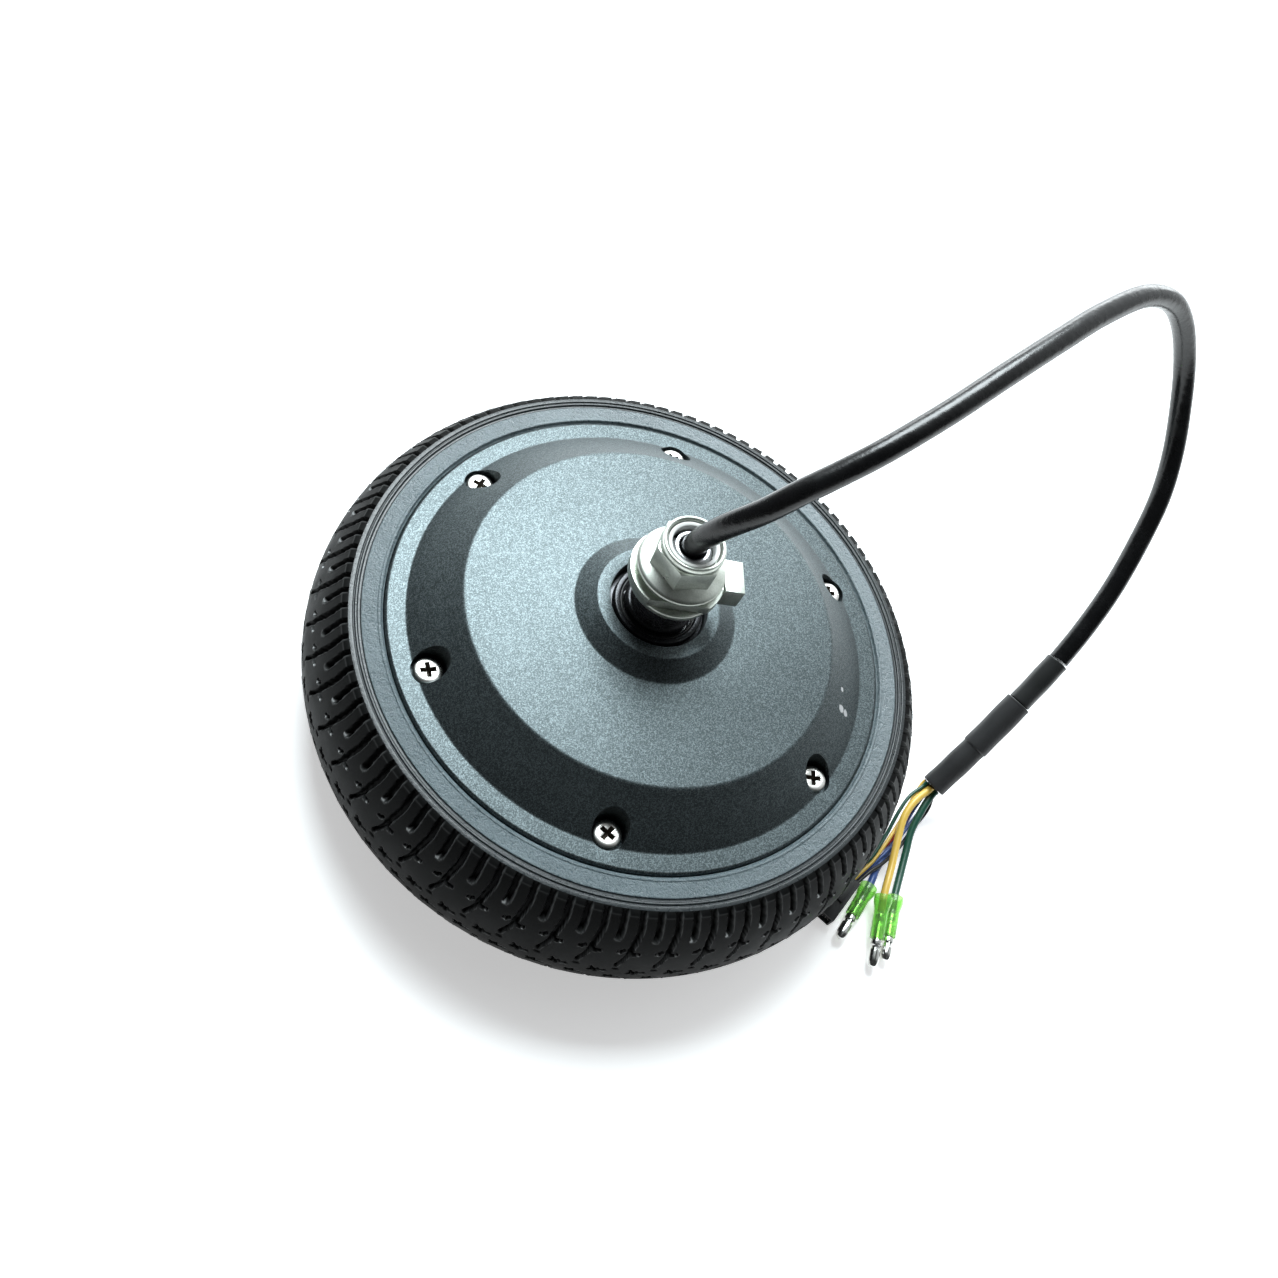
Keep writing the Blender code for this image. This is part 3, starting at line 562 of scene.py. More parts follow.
HALL_WIRES = {
    "hall_wire_green": ((2.5, 2.2), [
        (108.6, 25.0, 11.3), (107.5, 18.0, 9.7), (107.1, 9.0, 7.5),
        (106.0, 0.0, 6.0), (104.2, -5.0, 5.0), (102.0, -10.5, 4.1),
    ]),
    "hall_wire_yellow": ((3.1, 0.5), [
        (110.6, 26.0, 8.6), (110.2, 18.0, 6.7), (108.9, 9.0, 6.2),
        (107.3, 0.0, 5.0), (105.7, -5.0, 4.5), (103.5, -10.8, 4.1),
    ]),
    "hall_wire_red": ((3.0, -1.2), [
        (111.9, 26.0, 7.1), (111.9, 18.0, 5.2), (109.9, 9.0, 4.6),
        (106.6, 0.0, 3.2), (104.9, -5.0, 2.8), (102.7, -10.6, 2.2),
    ]),
    "hall_wire_blue": ((-1.0, -2.9), [
        (115.8, 27.0, 5.9), (114.0, 18.0, 4.1), (111.7, 9.0, 4.0),
        (108.4, 0.0, 3.5), (106.6, -5.0, 2.9), (104.3, -10.9, 2.2),
    ]),
    "hall_wire_black": ((-2.5, -2.2), [
        (117.7, 27.0, 6.2), (116.0, 18.0, 3.1), (114.0, 9.0, 3.1),
        (110.4, 0.0, 4.5), (107.6, -5.0, 4.9), (105.0, -11.1, 4.1),
    ]),
}
BULLETS = {
    "yellow": ((114.4, -11.4, 6.35), (120.2, -34.6, 3.1), 14.5),
    "green": ((118.9, -8.0, 3.4), (123.4, -30.2, 3.0), 14.0),
    "blue": ((109.4, -9.6, 3.4), (106.6, -31.8, 3.0), 12.5),
}
INSULATOR_R = 2.4
INSULATOR_MOUTH_R = 3.05
INSULATOR_WALL = 0.45
TERMINAL_R = 1.9
TERMINAL_STEM_R = 1.55
CONNECTOR_AXIS = ((103.5, -11.2, 3.1), (99.9, -28.3, 3.1))
CONNECTOR_SECTION = (4.8, 5.0)
PIN_SPACING = (1.15, 0.95)
CURVE_STEPS = 12


def smooth_route(points, spacing):
    """Points at even spacing along a smooth curve through the route's own points."""
    knots = [Vector(point) for point in points]
    knots = [2 * knots[0] - knots[1]] + knots + [2 * knots[-1] - knots[-2]]
    fine = []
    for before, start, end, after in zip(knots, knots[1:], knots[2:], knots[3:]):
        for step in range(CURVE_STEPS):
            t = step / CURVE_STEPS
            fine.append(0.5 * (2 * start + (end - before) * t
                               + (2 * before - 5 * start + 4 * end - after) * t ** 2
                               + (3 * start - before - 3 * end + after) * t ** 3))
    fine.append(knots[-2])
    lengths = [0.0]
    for first, second in zip(fine, fine[1:]):
        lengths.append(lengths[-1] + (second - first).length)
    count = max(2, round(lengths[-1] / spacing))
    route = []
    at = 0
    for index in range(count + 1):
        wanted = lengths[-1] * index / count
        while at < len(fine) - 2 and lengths[at + 1] < wanted:
            at += 1
        share = (wanted - lengths[at]) / (lengths[at + 1] - lengths[at])
        route.append(fine[at].lerp(fine[at + 1], min(1.0, share)))
    return route, lengths[-1]


def wire_route(offset, points):
    """A wire leaves the end face of the last sleeve square, side by side with the others."""
    begin, end = (Vector(point) for point in SLEEVES[-1][2:4])
    forward = (end - begin).normalized()
    side = Vector((forward.y, -forward.x, 0.0)).normalized()
    above = side.cross(forward)
    mouth = end + side * offset[0] + above * offset[1]
    return [mouth + forward * (GAP + 0.05), mouth + forward * 2.5] + [Vector(point) for point in points]


def tube(name, route, radius, material, sides=6):
    curve = bpy.data.curves.new(name, "CURVE")
    curve.dimensions = "3D"
    curve.bevel_depth = radius * MM
    curve.bevel_resolution = sides
    curve.use_fill_caps = True
    spline = curve.splines.new("POLY")
    spline.points.add(len(route) - 1)
    for point, at in zip(spline.points, route):
        point.co = (*(Vector(at) * MM), 1.0)
    spline.use_smooth = True
    curve.materials.append(material)
    obj = bpy.data.objects.new(name, curve)
    scene.collection.objects.link(obj)
    return obj


def make_sleeves():
    """Heat-shrink sleeves: shrunk ends, shallow waves over the wires below and a thin cut lip."""
    made = []
    for name, node, start, end, radius, look in SLEEVES:
        length = (Vector(end) - Vector(start)).length + SLEEVE_OVERLAP
        outline = [(0.0, 0.0), (radius - 0.45, 0.0), (radius - 0.12, 0.25)]
        if name == "sleeve_end":
            outline = [(0.0, -1.0), (radius - 0.17, -1.0), (radius - 0.15, 0.3)]
        for step in range(1, SLEEVE_ROWS):
            at = step / SLEEVE_ROWS
            height = 0.3 + (length - 0.6) * at
            wave = 0.10 * math.sin(9.0 * at + radius) - 0.12 * (2 * at - 1) ** 6
            if height > 1.0:
                outline.append((radius - 0.08 + wave * 0.6, height))
        outline += [(radius - 0.12, length - 0.25), (radius - 0.45, length), (0.0, length)]
        sleeve = turned(name, outline, look, 64, 0.1, closed=False, angle=60.0)
        for vertex in sleeve.data.vertices:
            around = math.atan2(vertex.co.y, vertex.co.x)
            share = vertex.co.z / (length * MM)
            swell = math.sin(math.pi * min(1, max(0, share)))
            dent = 1.0 - 0.012 * (1 + math.cos(3 * around + 5.0 * share)) * swell
            vertex.co.x *= dent
            vertex.co.y *= dent
        ahead = (Vector(end) - Vector(start)).normalized() * SLEEVE_OVERLAP
        made.append(settle(along(sleeve, Vector(start) - ahead, Vector(end)), "axle_side", "sleeve", node))
    return made


def make_bullets():
    """Bullet terminals: a tin-plated stem and bullet in a clear insulator with a flared mouth."""
    made = {}
    flare_r = INSULATOR_MOUTH_R - INSULATOR_WALL
    inner_r = INSULATOR_R - INSULATOR_WALL
    stem_r = TERMINAL_STEM_R
    for colour, (mouth, tip, length) in BULLETS.items():
        total = (Vector(tip) - Vector(mouth)).length
        shell = turned(f"insulator_{colour}", [
            (INSULATOR_R, length), (INSULATOR_R, 5.2), (INSULATOR_MOUTH_R, 2.2), (INSULATOR_MOUTH_R, 0.0),
            (flare_r, 0.0), (flare_r, 2.1), (inner_r, 5.2), (inner_r, length),
        ], INSULATOR, 48, 0.12, angle=50.0)
        for vertex in shell.data.vertices:
            vertex.co.y *= 1.0 - 0.05 * min(1.0, max(0.0, (vertex.co.z / MM - 5.0) / 4.0))
        settle(along(shell, mouth, tip), "axle_side", "insulator", f"bullet_insulator_{colour}")
        start = length + GAP
        barrel = TERMINAL_R - 0.12
        terminal = turned(f"terminal_{colour}", [
            (0.0, 6.2), (1.25, 6.2), (stem_r, 6.6), (stem_r, 8.0), (1.2, 8.6), (1.2, 9.6), (stem_r, 10.2),
            (stem_r, start - 0.6), (barrel, start + 0.3), (TERMINAL_R, start + 0.6),
            (TERMINAL_R, start + 2.0), (1.45, start + 2.4), (1.45, start + 3.2), (TERMINAL_R, start + 3.6),
            (TERMINAL_R, total - 2.0, 0.8), (1.25, total - 0.35, 0.5), (0.55, total), (0.0, total),
        ], TIN, 48, 0.15, closed=False)
        seam = block("seam", (0.35, 1.2, total - start - 1.0), (0.0, TERMINAL_R, (total + start) / 2 + 1.0))
        cut(terminal, seam)
        settle(along(terminal, mouth, tip), "axle_side", "tin", f"bullet_terminal_{colour}")
        made[colour] = [shell, terminal]
    return made


def make_sensor_plug():
    """The sensor plug: a ribbed housing with a latch, and six contact pins in its mouth."""
    start, end = CONNECTOR_AXIS
    length = (Vector(end) - Vector(start)).length
    width, height = CONNECTOR_SECTION
    body = block("sensor_plug", (width, height, length), (0.0, 0.0, length / 2), 0.0, CONNECTOR)
    for level in (0.28, 0.62):
        for side in (-1, 1):
            cut(body, block("grip", (0.35, height - 1.4, 0.7), (side * width / 2, 0.0, length * level)))
    cut(body, block("mouth", (width - 1.1, height - 1.1, 3.0), (0.0, 0.0, length)))
    latch = block("latch", (2.2, 1.4, length * 0.5), (0.0, height / 2, length * 0.35))
    cut(body, latch, "UNION")
    bevelled(body, 0.22)
    made = [settle(along(body, start, end), "axle_side", "connector_plastic", "hall_connector")]
    for row in (-1, 1):
        for column in (-1, 0, 1):
            pin = turned("sensor_pin", [
                (0.0, length - 3.2), (0.3, length - 3.2), (0.3, length - 1.2), (0.12, length - 0.8),
                (0.0, length - 0.8),
            ], TIN, 12, 0.05, closed=False)
            moved(pin, Matrix.Translation((column * PIN_SPACING[0] * MM, row * PIN_SPACING[1] * MM, 0.0)))
            pin.name = f"sensor_pin_{(row + 1) * 2 + column + 2}"
            made.append(settle(along(pin, start, end), "axle_side", "tin"))
    return made


def make_wire(node, offset, points, radius, goes_in):
    """One lead from the last sleeve; a phase lead ends a little way inside its terminal."""
    kind, _, colour = node.split("_")
    tail = []
    if kind == "phase":
        mouth, tip, _ = BULLETS[colour]
        into = (Vector(tip) - Vector(mouth)).normalized()
        tail = [Vector(mouth) + into * 2.5, Vector(mouth) + into * 5.5]
    route, length = smooth_route(wire_route(offset, points) + tail, 1.0)
    wire = tube(f"{kind}_lead_{colour}", route, radius, WIRE[colour], 4)
    settle(wire, "axle_side", f"wire_{colour}", node)


def make_cables():
    sleeves = make_sleeves()
    bullets = make_bullets()
    plug = make_sensor_plug()
    route, length = smooth_route(CABLE_ROUTE, 2.0)
    cable = tube("power_cable", route, CABLE_R, CABLE)
    settle(cable, "axle_side", "cable_jacket", "motor_cable")
    for node, (offset, points) in PHASE_WIRES.items():
        make_wire(node, offset, points, PHASE_WIRE_R, bullets[node.split("_")[2]])
    for node, (offset, points) in HALL_WIRES.items():
        make_wire(node, offset, points, HALL_WIRE_R, plug)


make_cables()


# ---- tyre

TYRE_R = 100.0
HALF_WIDTH = 25.0
CROWN_RADIUS = 31.5
PITCH_COUNT = 55
PITCH = FULL_TURN * TYRE_R / PITCH_COUNT
PITCH_PHASE = 0.3
PITCH_STEPS = 36
CROWN_STEPS = 400
TREAD_EDGE = 24.5
TREAD_ROW = 0.42
WALL = 0.4
# How pale the lips are painted: a painted highlight along the slot edges.
LIP_PAINTED_HIGHLIGHT = 0.14
LIP_WIDTH = 0.26
CAP_WIDTH = 0.22
# Painted glint spots: their width, the seed that drops some at random, and the rows they are drawn by.
GLINT_SPOT_WIDTH = 0.28
GLINT_SPOT_SEED = 7
GLINT_SPOT_ROWS = (-15.0, -8.0, 8.0, 15.0)
RIDGE_R = 85.2


def crown_profile():
    """(r, z, normal r, normal z, distance from the mid line) across the crown, front to back."""
    fine = []
    for step in range(CROWN_STEPS + 1):
        rise = TREAD_EDGE * (1 - 2 * step / CROWN_STEPS)
        fine.append((TYRE_R - rise ** 2 / (2 * CROWN_RADIUS), HALF_WIDTH + rise))
    reach = [0.0]
    for a, b in zip(fine, fine[1:]):
        reach.append(reach[-1] + math.dist(a, b))
    total = reach[-1]
    wanted = np.linspace(0.0, total, round(total / TREAD_ROW) + 1)
    radii = np.interp(wanted, reach, [p[0] for p in fine])
    heights = np.interp(wanted, reach, [p[1] for p in fine])
    rise = heights - HALF_WIDTH
    slope = rise / CROWN_RADIUS
    scale = 1.0 / np.sqrt(1.0 + slope ** 2)
    return radii, heights, scale, slope * scale, total / 2 - wanted


def distance_to_line(u, w, points):
    """Distance from every (u, w) to a polyline."""
    best = np.full(u.shape, np.inf)
    for (au, aw), (bu, bw) in zip(points, points[1:]):
        du, dw = bu - au, bw - aw
        t = np.clip(((u - au) * du + (w - aw) * dw) / (du * du + dw * dw), 0.0, 1.0)
        best = np.minimum(best, np.hypot(u - au - t * du, w - aw - t * dw))
    return best


def groove(depth, u, w, points, half, deep):
    """Carve a groove of that half width and depth along a polyline, wrapped over the pitch."""
    for wrap in (-PITCH, 0.0, PITCH):
        gap = distance_to_line(u + wrap, w, points)
        share = np.clip((half - gap) / WALL + 0.5, 0.0, 1.0)
        share = share * share * (3 - 2 * share)
        np.maximum(depth, share * deep, out=depth)


def along_crown(rise):
    """Length along the crown from the mid line to where it has risen that far towards a side."""
    slope = rise / CROWN_RADIUS
    return CROWN_RADIUS / 2 * (math.asinh(slope) + slope * math.sqrt(1 + slope * slope))


def tread_marks():
    """Cuts, lips, caps and painted glint spots of one pitch: (round the tyre, up from the mid line).

    A cut is its line, its half width and its depth; a lip or a cap is a moulded line, raised a little and
    painted pale as a painted highlight.
    """
    half_pitch = PITCH / 2
    open_end = TREAD_EDGE + 0.7

    def beside(points):
        return [(half_pitch + around, rise) for around, rise in points]

    cuts = [
        ([(0.45, open_end), (0.6, 24.0), (1.0, 22.0), (1.15, 20.0), (0.95, 18.0), (0.55, 16.0)], 0.88, 2.0),
        ([(0.55, 16.0), (0.3, 14.5), (0.15, 13.2)], 0.76, 1.9),
        ([(0.15, 13.2), (-0.3, 11.2), (-0.9, 9.4), (-1.6, 7.9), (-2.1, 6.8)], 0.52, 1.7),
        ([(0.3, 12.4), (1.6, 12.2), (3.0, 12.5)], 0.40, 1.3),
        ([(-3.2, 12.7), (-2.4, 12.95), (-1.8, 13.5)], 0.40, 1.3),
        ([(-8.5, 3.7), (-6.9, 1.3)], 0.42, 1.4),
        ([(-8.8, 1.7), (-6.4, 3.0)], 0.38, 1.4),
        ([(-6.8, 2.3), (-4.1, 2.6)], 0.30, 0.8),
        ([(-2.4, 4.5), (-1.1, 4.4)], 0.30, 0.8),
        (beside([(0.45, open_end), (0.6, 24.0), (1.05, 20.0), (1.0, 18.0)]), 0.88, 2.0),
    ]
    lips = [
        [(1.75, open_end), (1.7, 24.0), (2.25, 20.5), (1.6, 16.5), (1.2, 14.1)],
        [(0.55, 12.0), (0.15, 10.3), (-0.75, 8.5), (-1.5, 6.2)],
        [(0.7, 11.75), (1.7, 11.6), (3.0, 11.9), (3.5, 12.4)],
        [(-3.5, 12.2), (-2.4, 12.25), (-1.4, 13.2)],
        [(-6.2, 1.7), (-4.0, 1.95)],
        beside([(1.75, open_end), (1.7, 24.0), (2.2, 20.0), (2.1, 17.9), (1.5, 16.9), (0.4, 16.9),
                (-0.1, 17.3)]),
    ]
    cap = [(2.0, 24.1), (half_pitch - 0.6, 24.1)]
    caps = [cap, beside(cap)]
    # Painted glint spots: pale dots where glints show at the slot ends and the notches.
    glint_spots = [(half_pitch + 0.6, 17.2), (half_pitch + 0.2, 17.1), (2.7, 11.9), (-2.9, 12.4)]
    return cuts, lips, caps, glint_spots


def tread_depth(w_rows):
    """Over one pitch: groove depths, the painted highlight along the lips and the painted glint spots."""
    steps = np.arange(PITCH_STEPS) * PITCH / PITCH_STEPS
    u, w = np.meshgrid(steps, w_rows)
    depth = np.zeros(u.shape)
    lip = np.zeros(u.shape)
    glint_spot = np.zeros(u.shape)

    def draw(layer, points, width):
        for lap in (-PITCH, 0.0, PITCH):
            reach = distance_to_line(u + lap, w, points)
            np.maximum(layer, np.clip(1.5 - reach / width, 0.0, 1.0), out=layer)

    cuts, lips, caps, glint_spots = tread_marks()
    for side, shift in ((1, 0.0), (-1, PITCH / 2)):
        start = PITCH * PITCH_PHASE + shift

        def placed(points):
            return [(start + around, side * along_crown(rise)) for around, rise in points]

        for points, half, deep in cuts:
            groove(depth, u, w, placed(points), half, deep)
        for points in lips:
            draw(lip, placed(points), LIP_WIDTH)
        for points in caps:
            faint = np.zeros(u.shape)
            draw(faint, placed(points), CAP_WIDTH)
            np.maximum(lip, 0.35 * faint, out=lip)
        for around, rise in glint_spots:
            draw(glint_spot, placed([(around, rise), (around + 0.05, rise)]), GLINT_SPOT_WIDTH)
    depth = np.where(depth > 0.25, depth, depth - 0.13 * lip)
    return depth, lip * np.clip(1.0 - depth / 1.2, 0.0, 1.0), glint_spot


def side_outlines(top_r, top_z):
    """The two sidewalls with their ridges: the front from the bore out, the back from the crown in."""
    width = 2 * HALF_WIDTH
    ridges = [
        (78.9, 48.9), (79.3, 49.1), (79.7, width, 0.25), (80.35, width, 0.2), (80.6, 49.75, 0.2),
        (85.1, 49.75, 0.2), (85.4, 49.35, 0.15), (86.1, 49.30, 0.15), (86.4, 49.85, 0.3), (86.95, 49.85, 0.3),
        (87.2, 49.5, 0.15), (87.4, 49.5, 0.15), (87.65, 49.9, 0.3), (88.5, 49.85, 0.6),
    ]
    mirrored = [(radius, width - height, *corner) for radius, height, *corner in reversed(ridges)]
    front = softened([(72.4, 41.1), (78.9, 43.1), *ridges, (top_r, top_z)], 0.3, 4)
    back = softened([(top_r, width - top_z), *mirrored, (78.9, 6.8), (72.4, 8.9)], 0.3, 4)
    return front[:-1], back[1:]


def full_rings(points, columns):
    """Radii and heights of an outline's points, the same all the way round."""
    table = np.array([tuple(point) for point in points])
    return np.tile(table[:, :1], columns), np.tile(table[:, 1:], columns)


def ring_mesh(name, radii, heights):
    """A closed ring of quads: rows follow the outline, columns go round the spin axis."""
    rows, columns = radii.shape
    angles = np.arange(columns) * FULL_TURN / columns
    verts = np.stack([radii * np.cos(angles), radii * np.sin(angles), heights], axis=-1)
    low = np.arange(rows * columns).reshape(rows, columns)
    after = np.roll(low, -1, axis=1)
    faces = np.stack([low, np.roll(low, -1, axis=0), np.roll(after, -1, axis=0), after], axis=-1)
    mesh = bpy.data.meshes.new(name)
    mesh.vertices.add(rows * columns)
    mesh.vertices.foreach_set("co", verts.astype(np.float32).ravel())
    mesh.loops.add(faces.size)
    mesh.loops.foreach_set("vertex_index", faces.astype(np.int32).ravel())
    mesh.polygons.add(rows * columns)
    mesh.polygons.foreach_set("loop_start", np.arange(0, faces.size, 4, dtype=np.int32))
    mesh.update(calc_edges=True)
    mesh.validate()
    tidy_normals(mesh, 50.0)
    return mesh


def make_tyre():
    """The tyre: a carved crown between two ridged sidewalls, in one closed ring."""
    radii, heights, normal_r, normal_z, across = crown_profile()
    depth, lip, glint_spot = (np.tile(layer, (1, PITCH_COUNT)) for layer in tread_depth(across))
    draws = (len(GLINT_SPOT_ROWS) + 1, PITCH_COUNT)
    chance = np.random.default_rng(GLINT_SPOT_SEED).random(draws).repeat(PITCH_STEPS, axis=1)
    glint_spot = glint_spot * (chance[np.digitize(across, GLINT_SPOT_ROWS)] > 0.25)
    # Painted highlight: glint spots at full strength, lip lines at a fraction.
    painted_highlight = np.maximum(glint_spot, LIP_PAINTED_HIGHLIGHT * lip)
    crown_r = radii[:, None] - normal_r[:, None] * depth
    crown_z = heights[:, None] - normal_z[:, None] * depth
    front, back = side_outlines(float(radii[0]), float(heights[0]))
    front_r, front_z = full_rings(front, depth.shape[1])
    back_r, back_z = full_rings(back, depth.shape[1])
    all_r = np.vstack([front_r, crown_r, back_r]) * MM
    all_z = np.vstack([front_z, crown_z, back_z]) * MM
    mesh = ring_mesh("tyre_tread", all_r, all_z)

    # Stores the painted highlight per vertex for the tread material.
    pale = mesh.attributes.new("painted_highlight", "FLOAT", "POINT")
    painted_highlights = np.vstack([np.zeros(front_r.shape), painted_highlight, np.zeros(back_r.shape)])
    pale.data.foreach_set("value", painted_highlights.astype(np.float32).ravel())
    # The smooth band takes the painted-sheen sidewall material; the tread and ridges follow.
    tyre = new_object("tyre_tread", mesh, SIDEWALL_SHEEN)
    mesh.materials.append(TREAD)
    mesh.materials.append(RIDGES)
    kind = np.where(all_r > RIDGE_R * MM, 2, 0)
    kind[len(front) - 1:len(front) + len(crown_r)] = 1
    mesh.polygons.foreach_set("material_index", kind.astype(np.int32).ravel())
    settle(tyre, "wheel", "tyre", "tyre")


make_tyre()


# ---- drum, cover and screws

RIM_R = 78.6
WELL_R = 72.0
CAVITY_R = 64.3
SEAT_R = 17.8
SHELL_TOP = 43.5
COVER_Z = (44.5, 50.0)
CONE_R = (57.7, 72.5)
DISC_Z = 61.8
BOSS_R = (19.1, 25.1)
BOSS_Z = 66.0
BORE_R = 15.1
CEILING_Z = 57.5
SCREW_COUNT = 6
SCREW_CIRCLE_R = 68.7
SCREW_ANGLE = 48.0
HEAD_R = 4.3
HEAD_Z = (46.9, 49.9)
SHANK_R = 2.3
POCKET_R = 5.2
POCKET_Z = (46.6, 64.0)
RECESS = {"size": 5.0, "width": 1.45, "deep": 3.0, "top": 50.1}


def make_drum():
    """The drum: a rim with a well for the tyre, a shallow dish at the back and a bearing seat."""
    shell = turned("drum", [
        (0.0, 1.2), (54.8, 1.2, 1.0), (57.2, 0.0, 1.2), (78.0, 0.0, 0.5), (RIM_R, 0.6, 0.3), (RIM_R, 6.3),
        (WELL_R, 8.3), (WELL_R, 41.3), (RIM_R, 43.2), (RIM_R, SHELL_TOP), (CAVITY_R, SHELL_TOP),
        (CAVITY_R, 9.0), (60.0, 6.5), (22.0, 6.5), (22.0, 16.0), (SEAT_R, 16.0), (SEAT_R, 4.8), (0.0, 4.8),
    ], SHELL, 256, 0.3, closed=False)
    settle(shell, "wheel", "shell_coat", "hub_shell")


def make_cover():
    """The cover: rim ring, cone, disc and boss over a hollow with the bearing seat, and six pockets."""
    low, rim = COVER_Z
    cover = turned("cover", [
        (BORE_R, 60.9), (BORE_R, BOSS_Z, 0.35), (BOSS_R[0], BOSS_Z, 0.35), (BOSS_R[1], DISC_Z, 0.5),
        (CONE_R[0], DISC_Z, 0.7), (CONE_R[1], rim, 0.4), (78.0, rim, 0.3), (RIM_R, 49.4, 0.3), (RIM_R, low),
        (CAVITY_R, low), (62.0, 48.5), (52.5, CEILING_Z), (22.3, CEILING_Z), (22.3, 50.2), (SEAT_R, 50.2),
        (SEAT_R, 60.9),
    ], COVER, 256, 0.35)
    floor, top = POCKET_Z
    for index in range(SCREW_COUNT):
        at = polar(SCREW_CIRCLE_R, SCREW_ANGLE + index * 360.0 / SCREW_COUNT)
        tool = turned(f"pocket_{index}", [(0.0, floor), (POCKET_R, floor), (POCKET_R, top), (0.0, top)],
                      None, 48, 0.0, closed=False)
        moved(tool, Matrix.Translation(at * MM))
        cut(cover, tool)
    bake(cover, 30.0)
    settle(cover, "wheel", "cover_coat", "front_cover")


def cross_recess(size, width, deep, top):
    """A tapered cross, the recess for a cross-head driver."""
    cutter = None
    for turn in (0.0, 90.0):
        bar = block("bar", (size, width, deep), (0.0, 0.0, top - deep / 2), 0.0)
        for vertex in bar.data.vertices:
            if vertex.co.z < (top - deep / 2) * MM:
                vertex.co.x *= 0.42
                vertex.co.y *= 0.62
        moved(bar, Matrix.Rotation(math.radians(turn), 4, "Z"))
        cutter = bar if cutter is None else cut(cutter, bar, "UNION")
    return cutter


def make_screws():
    """Six pan-head screws, each turned to its own angle, with painted shade in the recess: a dark brown metal
    on its faces.
    """
    seat, head = HEAD_Z
    for index in range(SCREW_COUNT):
        screw = turned(f"screw_{index + 1}", [
            (0.0, head), (3.3, head, 1.0), (4.1, 49.6, 0.4), (HEAD_R, 49.0, 0.4), (HEAD_R, 46.95, 0.1),
            (SHANK_R, seat), (SHANK_R, 34.8), (1.5, 34.0), (0.0, 34.0),
        ], NICKEL, 64, 0.2, closed=False)
        cut(screw, cross_recess(**RECESS))
        bevelled(screw, 0.10, 2, 45.0)
        # Painted shade: the faces inside the cross recess take the dark recess metal.
        screw.data.materials.append(RECESS_SHADE)
        for face in screw.data.polygons:
            level = face.center.z / MM
            if 46.0 < level < 49.62 and face.center.xy.length < 2.8 * MM:
                face.material_index = 1
        azimuth = SCREW_ANGLE + index * 360.0 / SCREW_COUNT
        moved(screw, Matrix.Rotation(math.radians(20.0 + 37.0 * index), 4, "Z"))
        moved(screw, Matrix.Translation(polar(SCREW_CIRCLE_R, azimuth) * MM))
        settle(screw, "wheel", "nickel", f"cover_screw_{index + 1}")


make_drum()
make_cover()
make_screws()


# ---- axle, seal and fasteners

AXLE_R = 8.4
AXLE_BORE_R = 3.9
AXLE_TOP_Z = 96.2
SHOULDER_Z = 77.1
THREAD_R = 6.0
COLLAR_R = 9.2
COLLAR_RINGS = 9
COLLAR_PITCH = 1.05
NUT_BORE_R = 6.3
NUT_FLANGE_R = 13.3
NUT_CORNER_R = 10.4
NUT_Z = (85.7, 98.2)
HEXAGON_TOP = 95.6
NUT_AZIMUTH = 38.0
WASHER_R = 13.2
WASHER_Z = (77.4, 79.7)
TORQUE_R = 14.2
TORQUE_FLATS = 21.8
TORQUE_Z = (80.0, 83.2)
TORQUE_AZIMUTH = 28.0
LUG_SIZE = (5.8, 10.6, 7.5)
LUG_CENTRE = (16.5, 0.0, 81.15)
LOCK_R = 10.3
LOCK_Z = (83.5, 85.4)


def make_axle_and_seal():
    """The stepped hollow axle, the ringed collar on it, and the seal round the collar."""
    axle = turned("axle_shaft", [
        (0.0, 46.0), (AXLE_BORE_R, 46.0), (AXLE_BORE_R, 95.8, 0.2), (4.2, AXLE_TOP_Z, 0.2),
        (5.1, AXLE_TOP_Z, 0.2), (THREAD_R, 95.1, 0.2), (THREAD_R, SHOULDER_Z), (AXLE_R, SHOULDER_Z),
        (AXLE_R, 37.0), (12.6, 37.0), (12.6, 34.3), (10.0, 34.3), (10.0, 16.0), (AXLE_R, 16.0), (AXLE_R, 5.6),
        (0.0, 5.6),
    ], BRIGHT_STEEL, 96, 0.15, closed=False)
    cut(axle, block("key_slot", (1.8, 2.4, 14.0), (-6.0, 0.0, 90.7), -10.0))
    settle(axle, "axle_side", "black_steel", "axle")

    valley = COLLAR_R - 0.18
    rings = [(8.7, 76.9), (COLLAR_R, 76.9, 0.15)]
    for step in range(COLLAR_RINGS):
        level = 76.0 - step * COLLAR_PITCH
        rings += [(COLLAR_R, level), (valley, level - 0.18), (valley, level - 0.34), (COLLAR_R, level - 0.5)]
    rings += [(COLLAR_R, 66.6), (9.9, 66.45, 0.3), (10.4, 65.9, 0.3), (10.4, 64.9), (10.1, 64.6),
              (10.1, 64.1), (10.4, 63.8), (10.4, 61.0), (8.7, 61.0)]
    spacer = turned("axle_collar", rings, BLACK_STEEL, 128, 0.08)
    settle(spacer, "axle_side", "black_steel", "axle_spacer")

    case = turned("seal_case", [
        (12.0, 65.0, 0.3), (13.4, 65.0, 0.3), (13.7, 64.6, 0.2), (13.7, 62.4), (14.8, 62.4), (14.8, 61.2),
        (12.0, 61.2),
    ], BLACK_STEEL, 128, 0.15)
    settle(case, "wheel", "bearing_steel", "front_seal_case")
    lip = turned("seal_lip", [
        (10.75, 64.2, 0.15), (11.2, 63.6), (11.4, 64.6, 0.1), (11.7, 64.6, 0.1), (11.7, 61.2), (10.9, 61.2),
    ], SEAL, 128, 0.1)
    settle(lip, "wheel", "seal_rubber", "front_seal_lip")


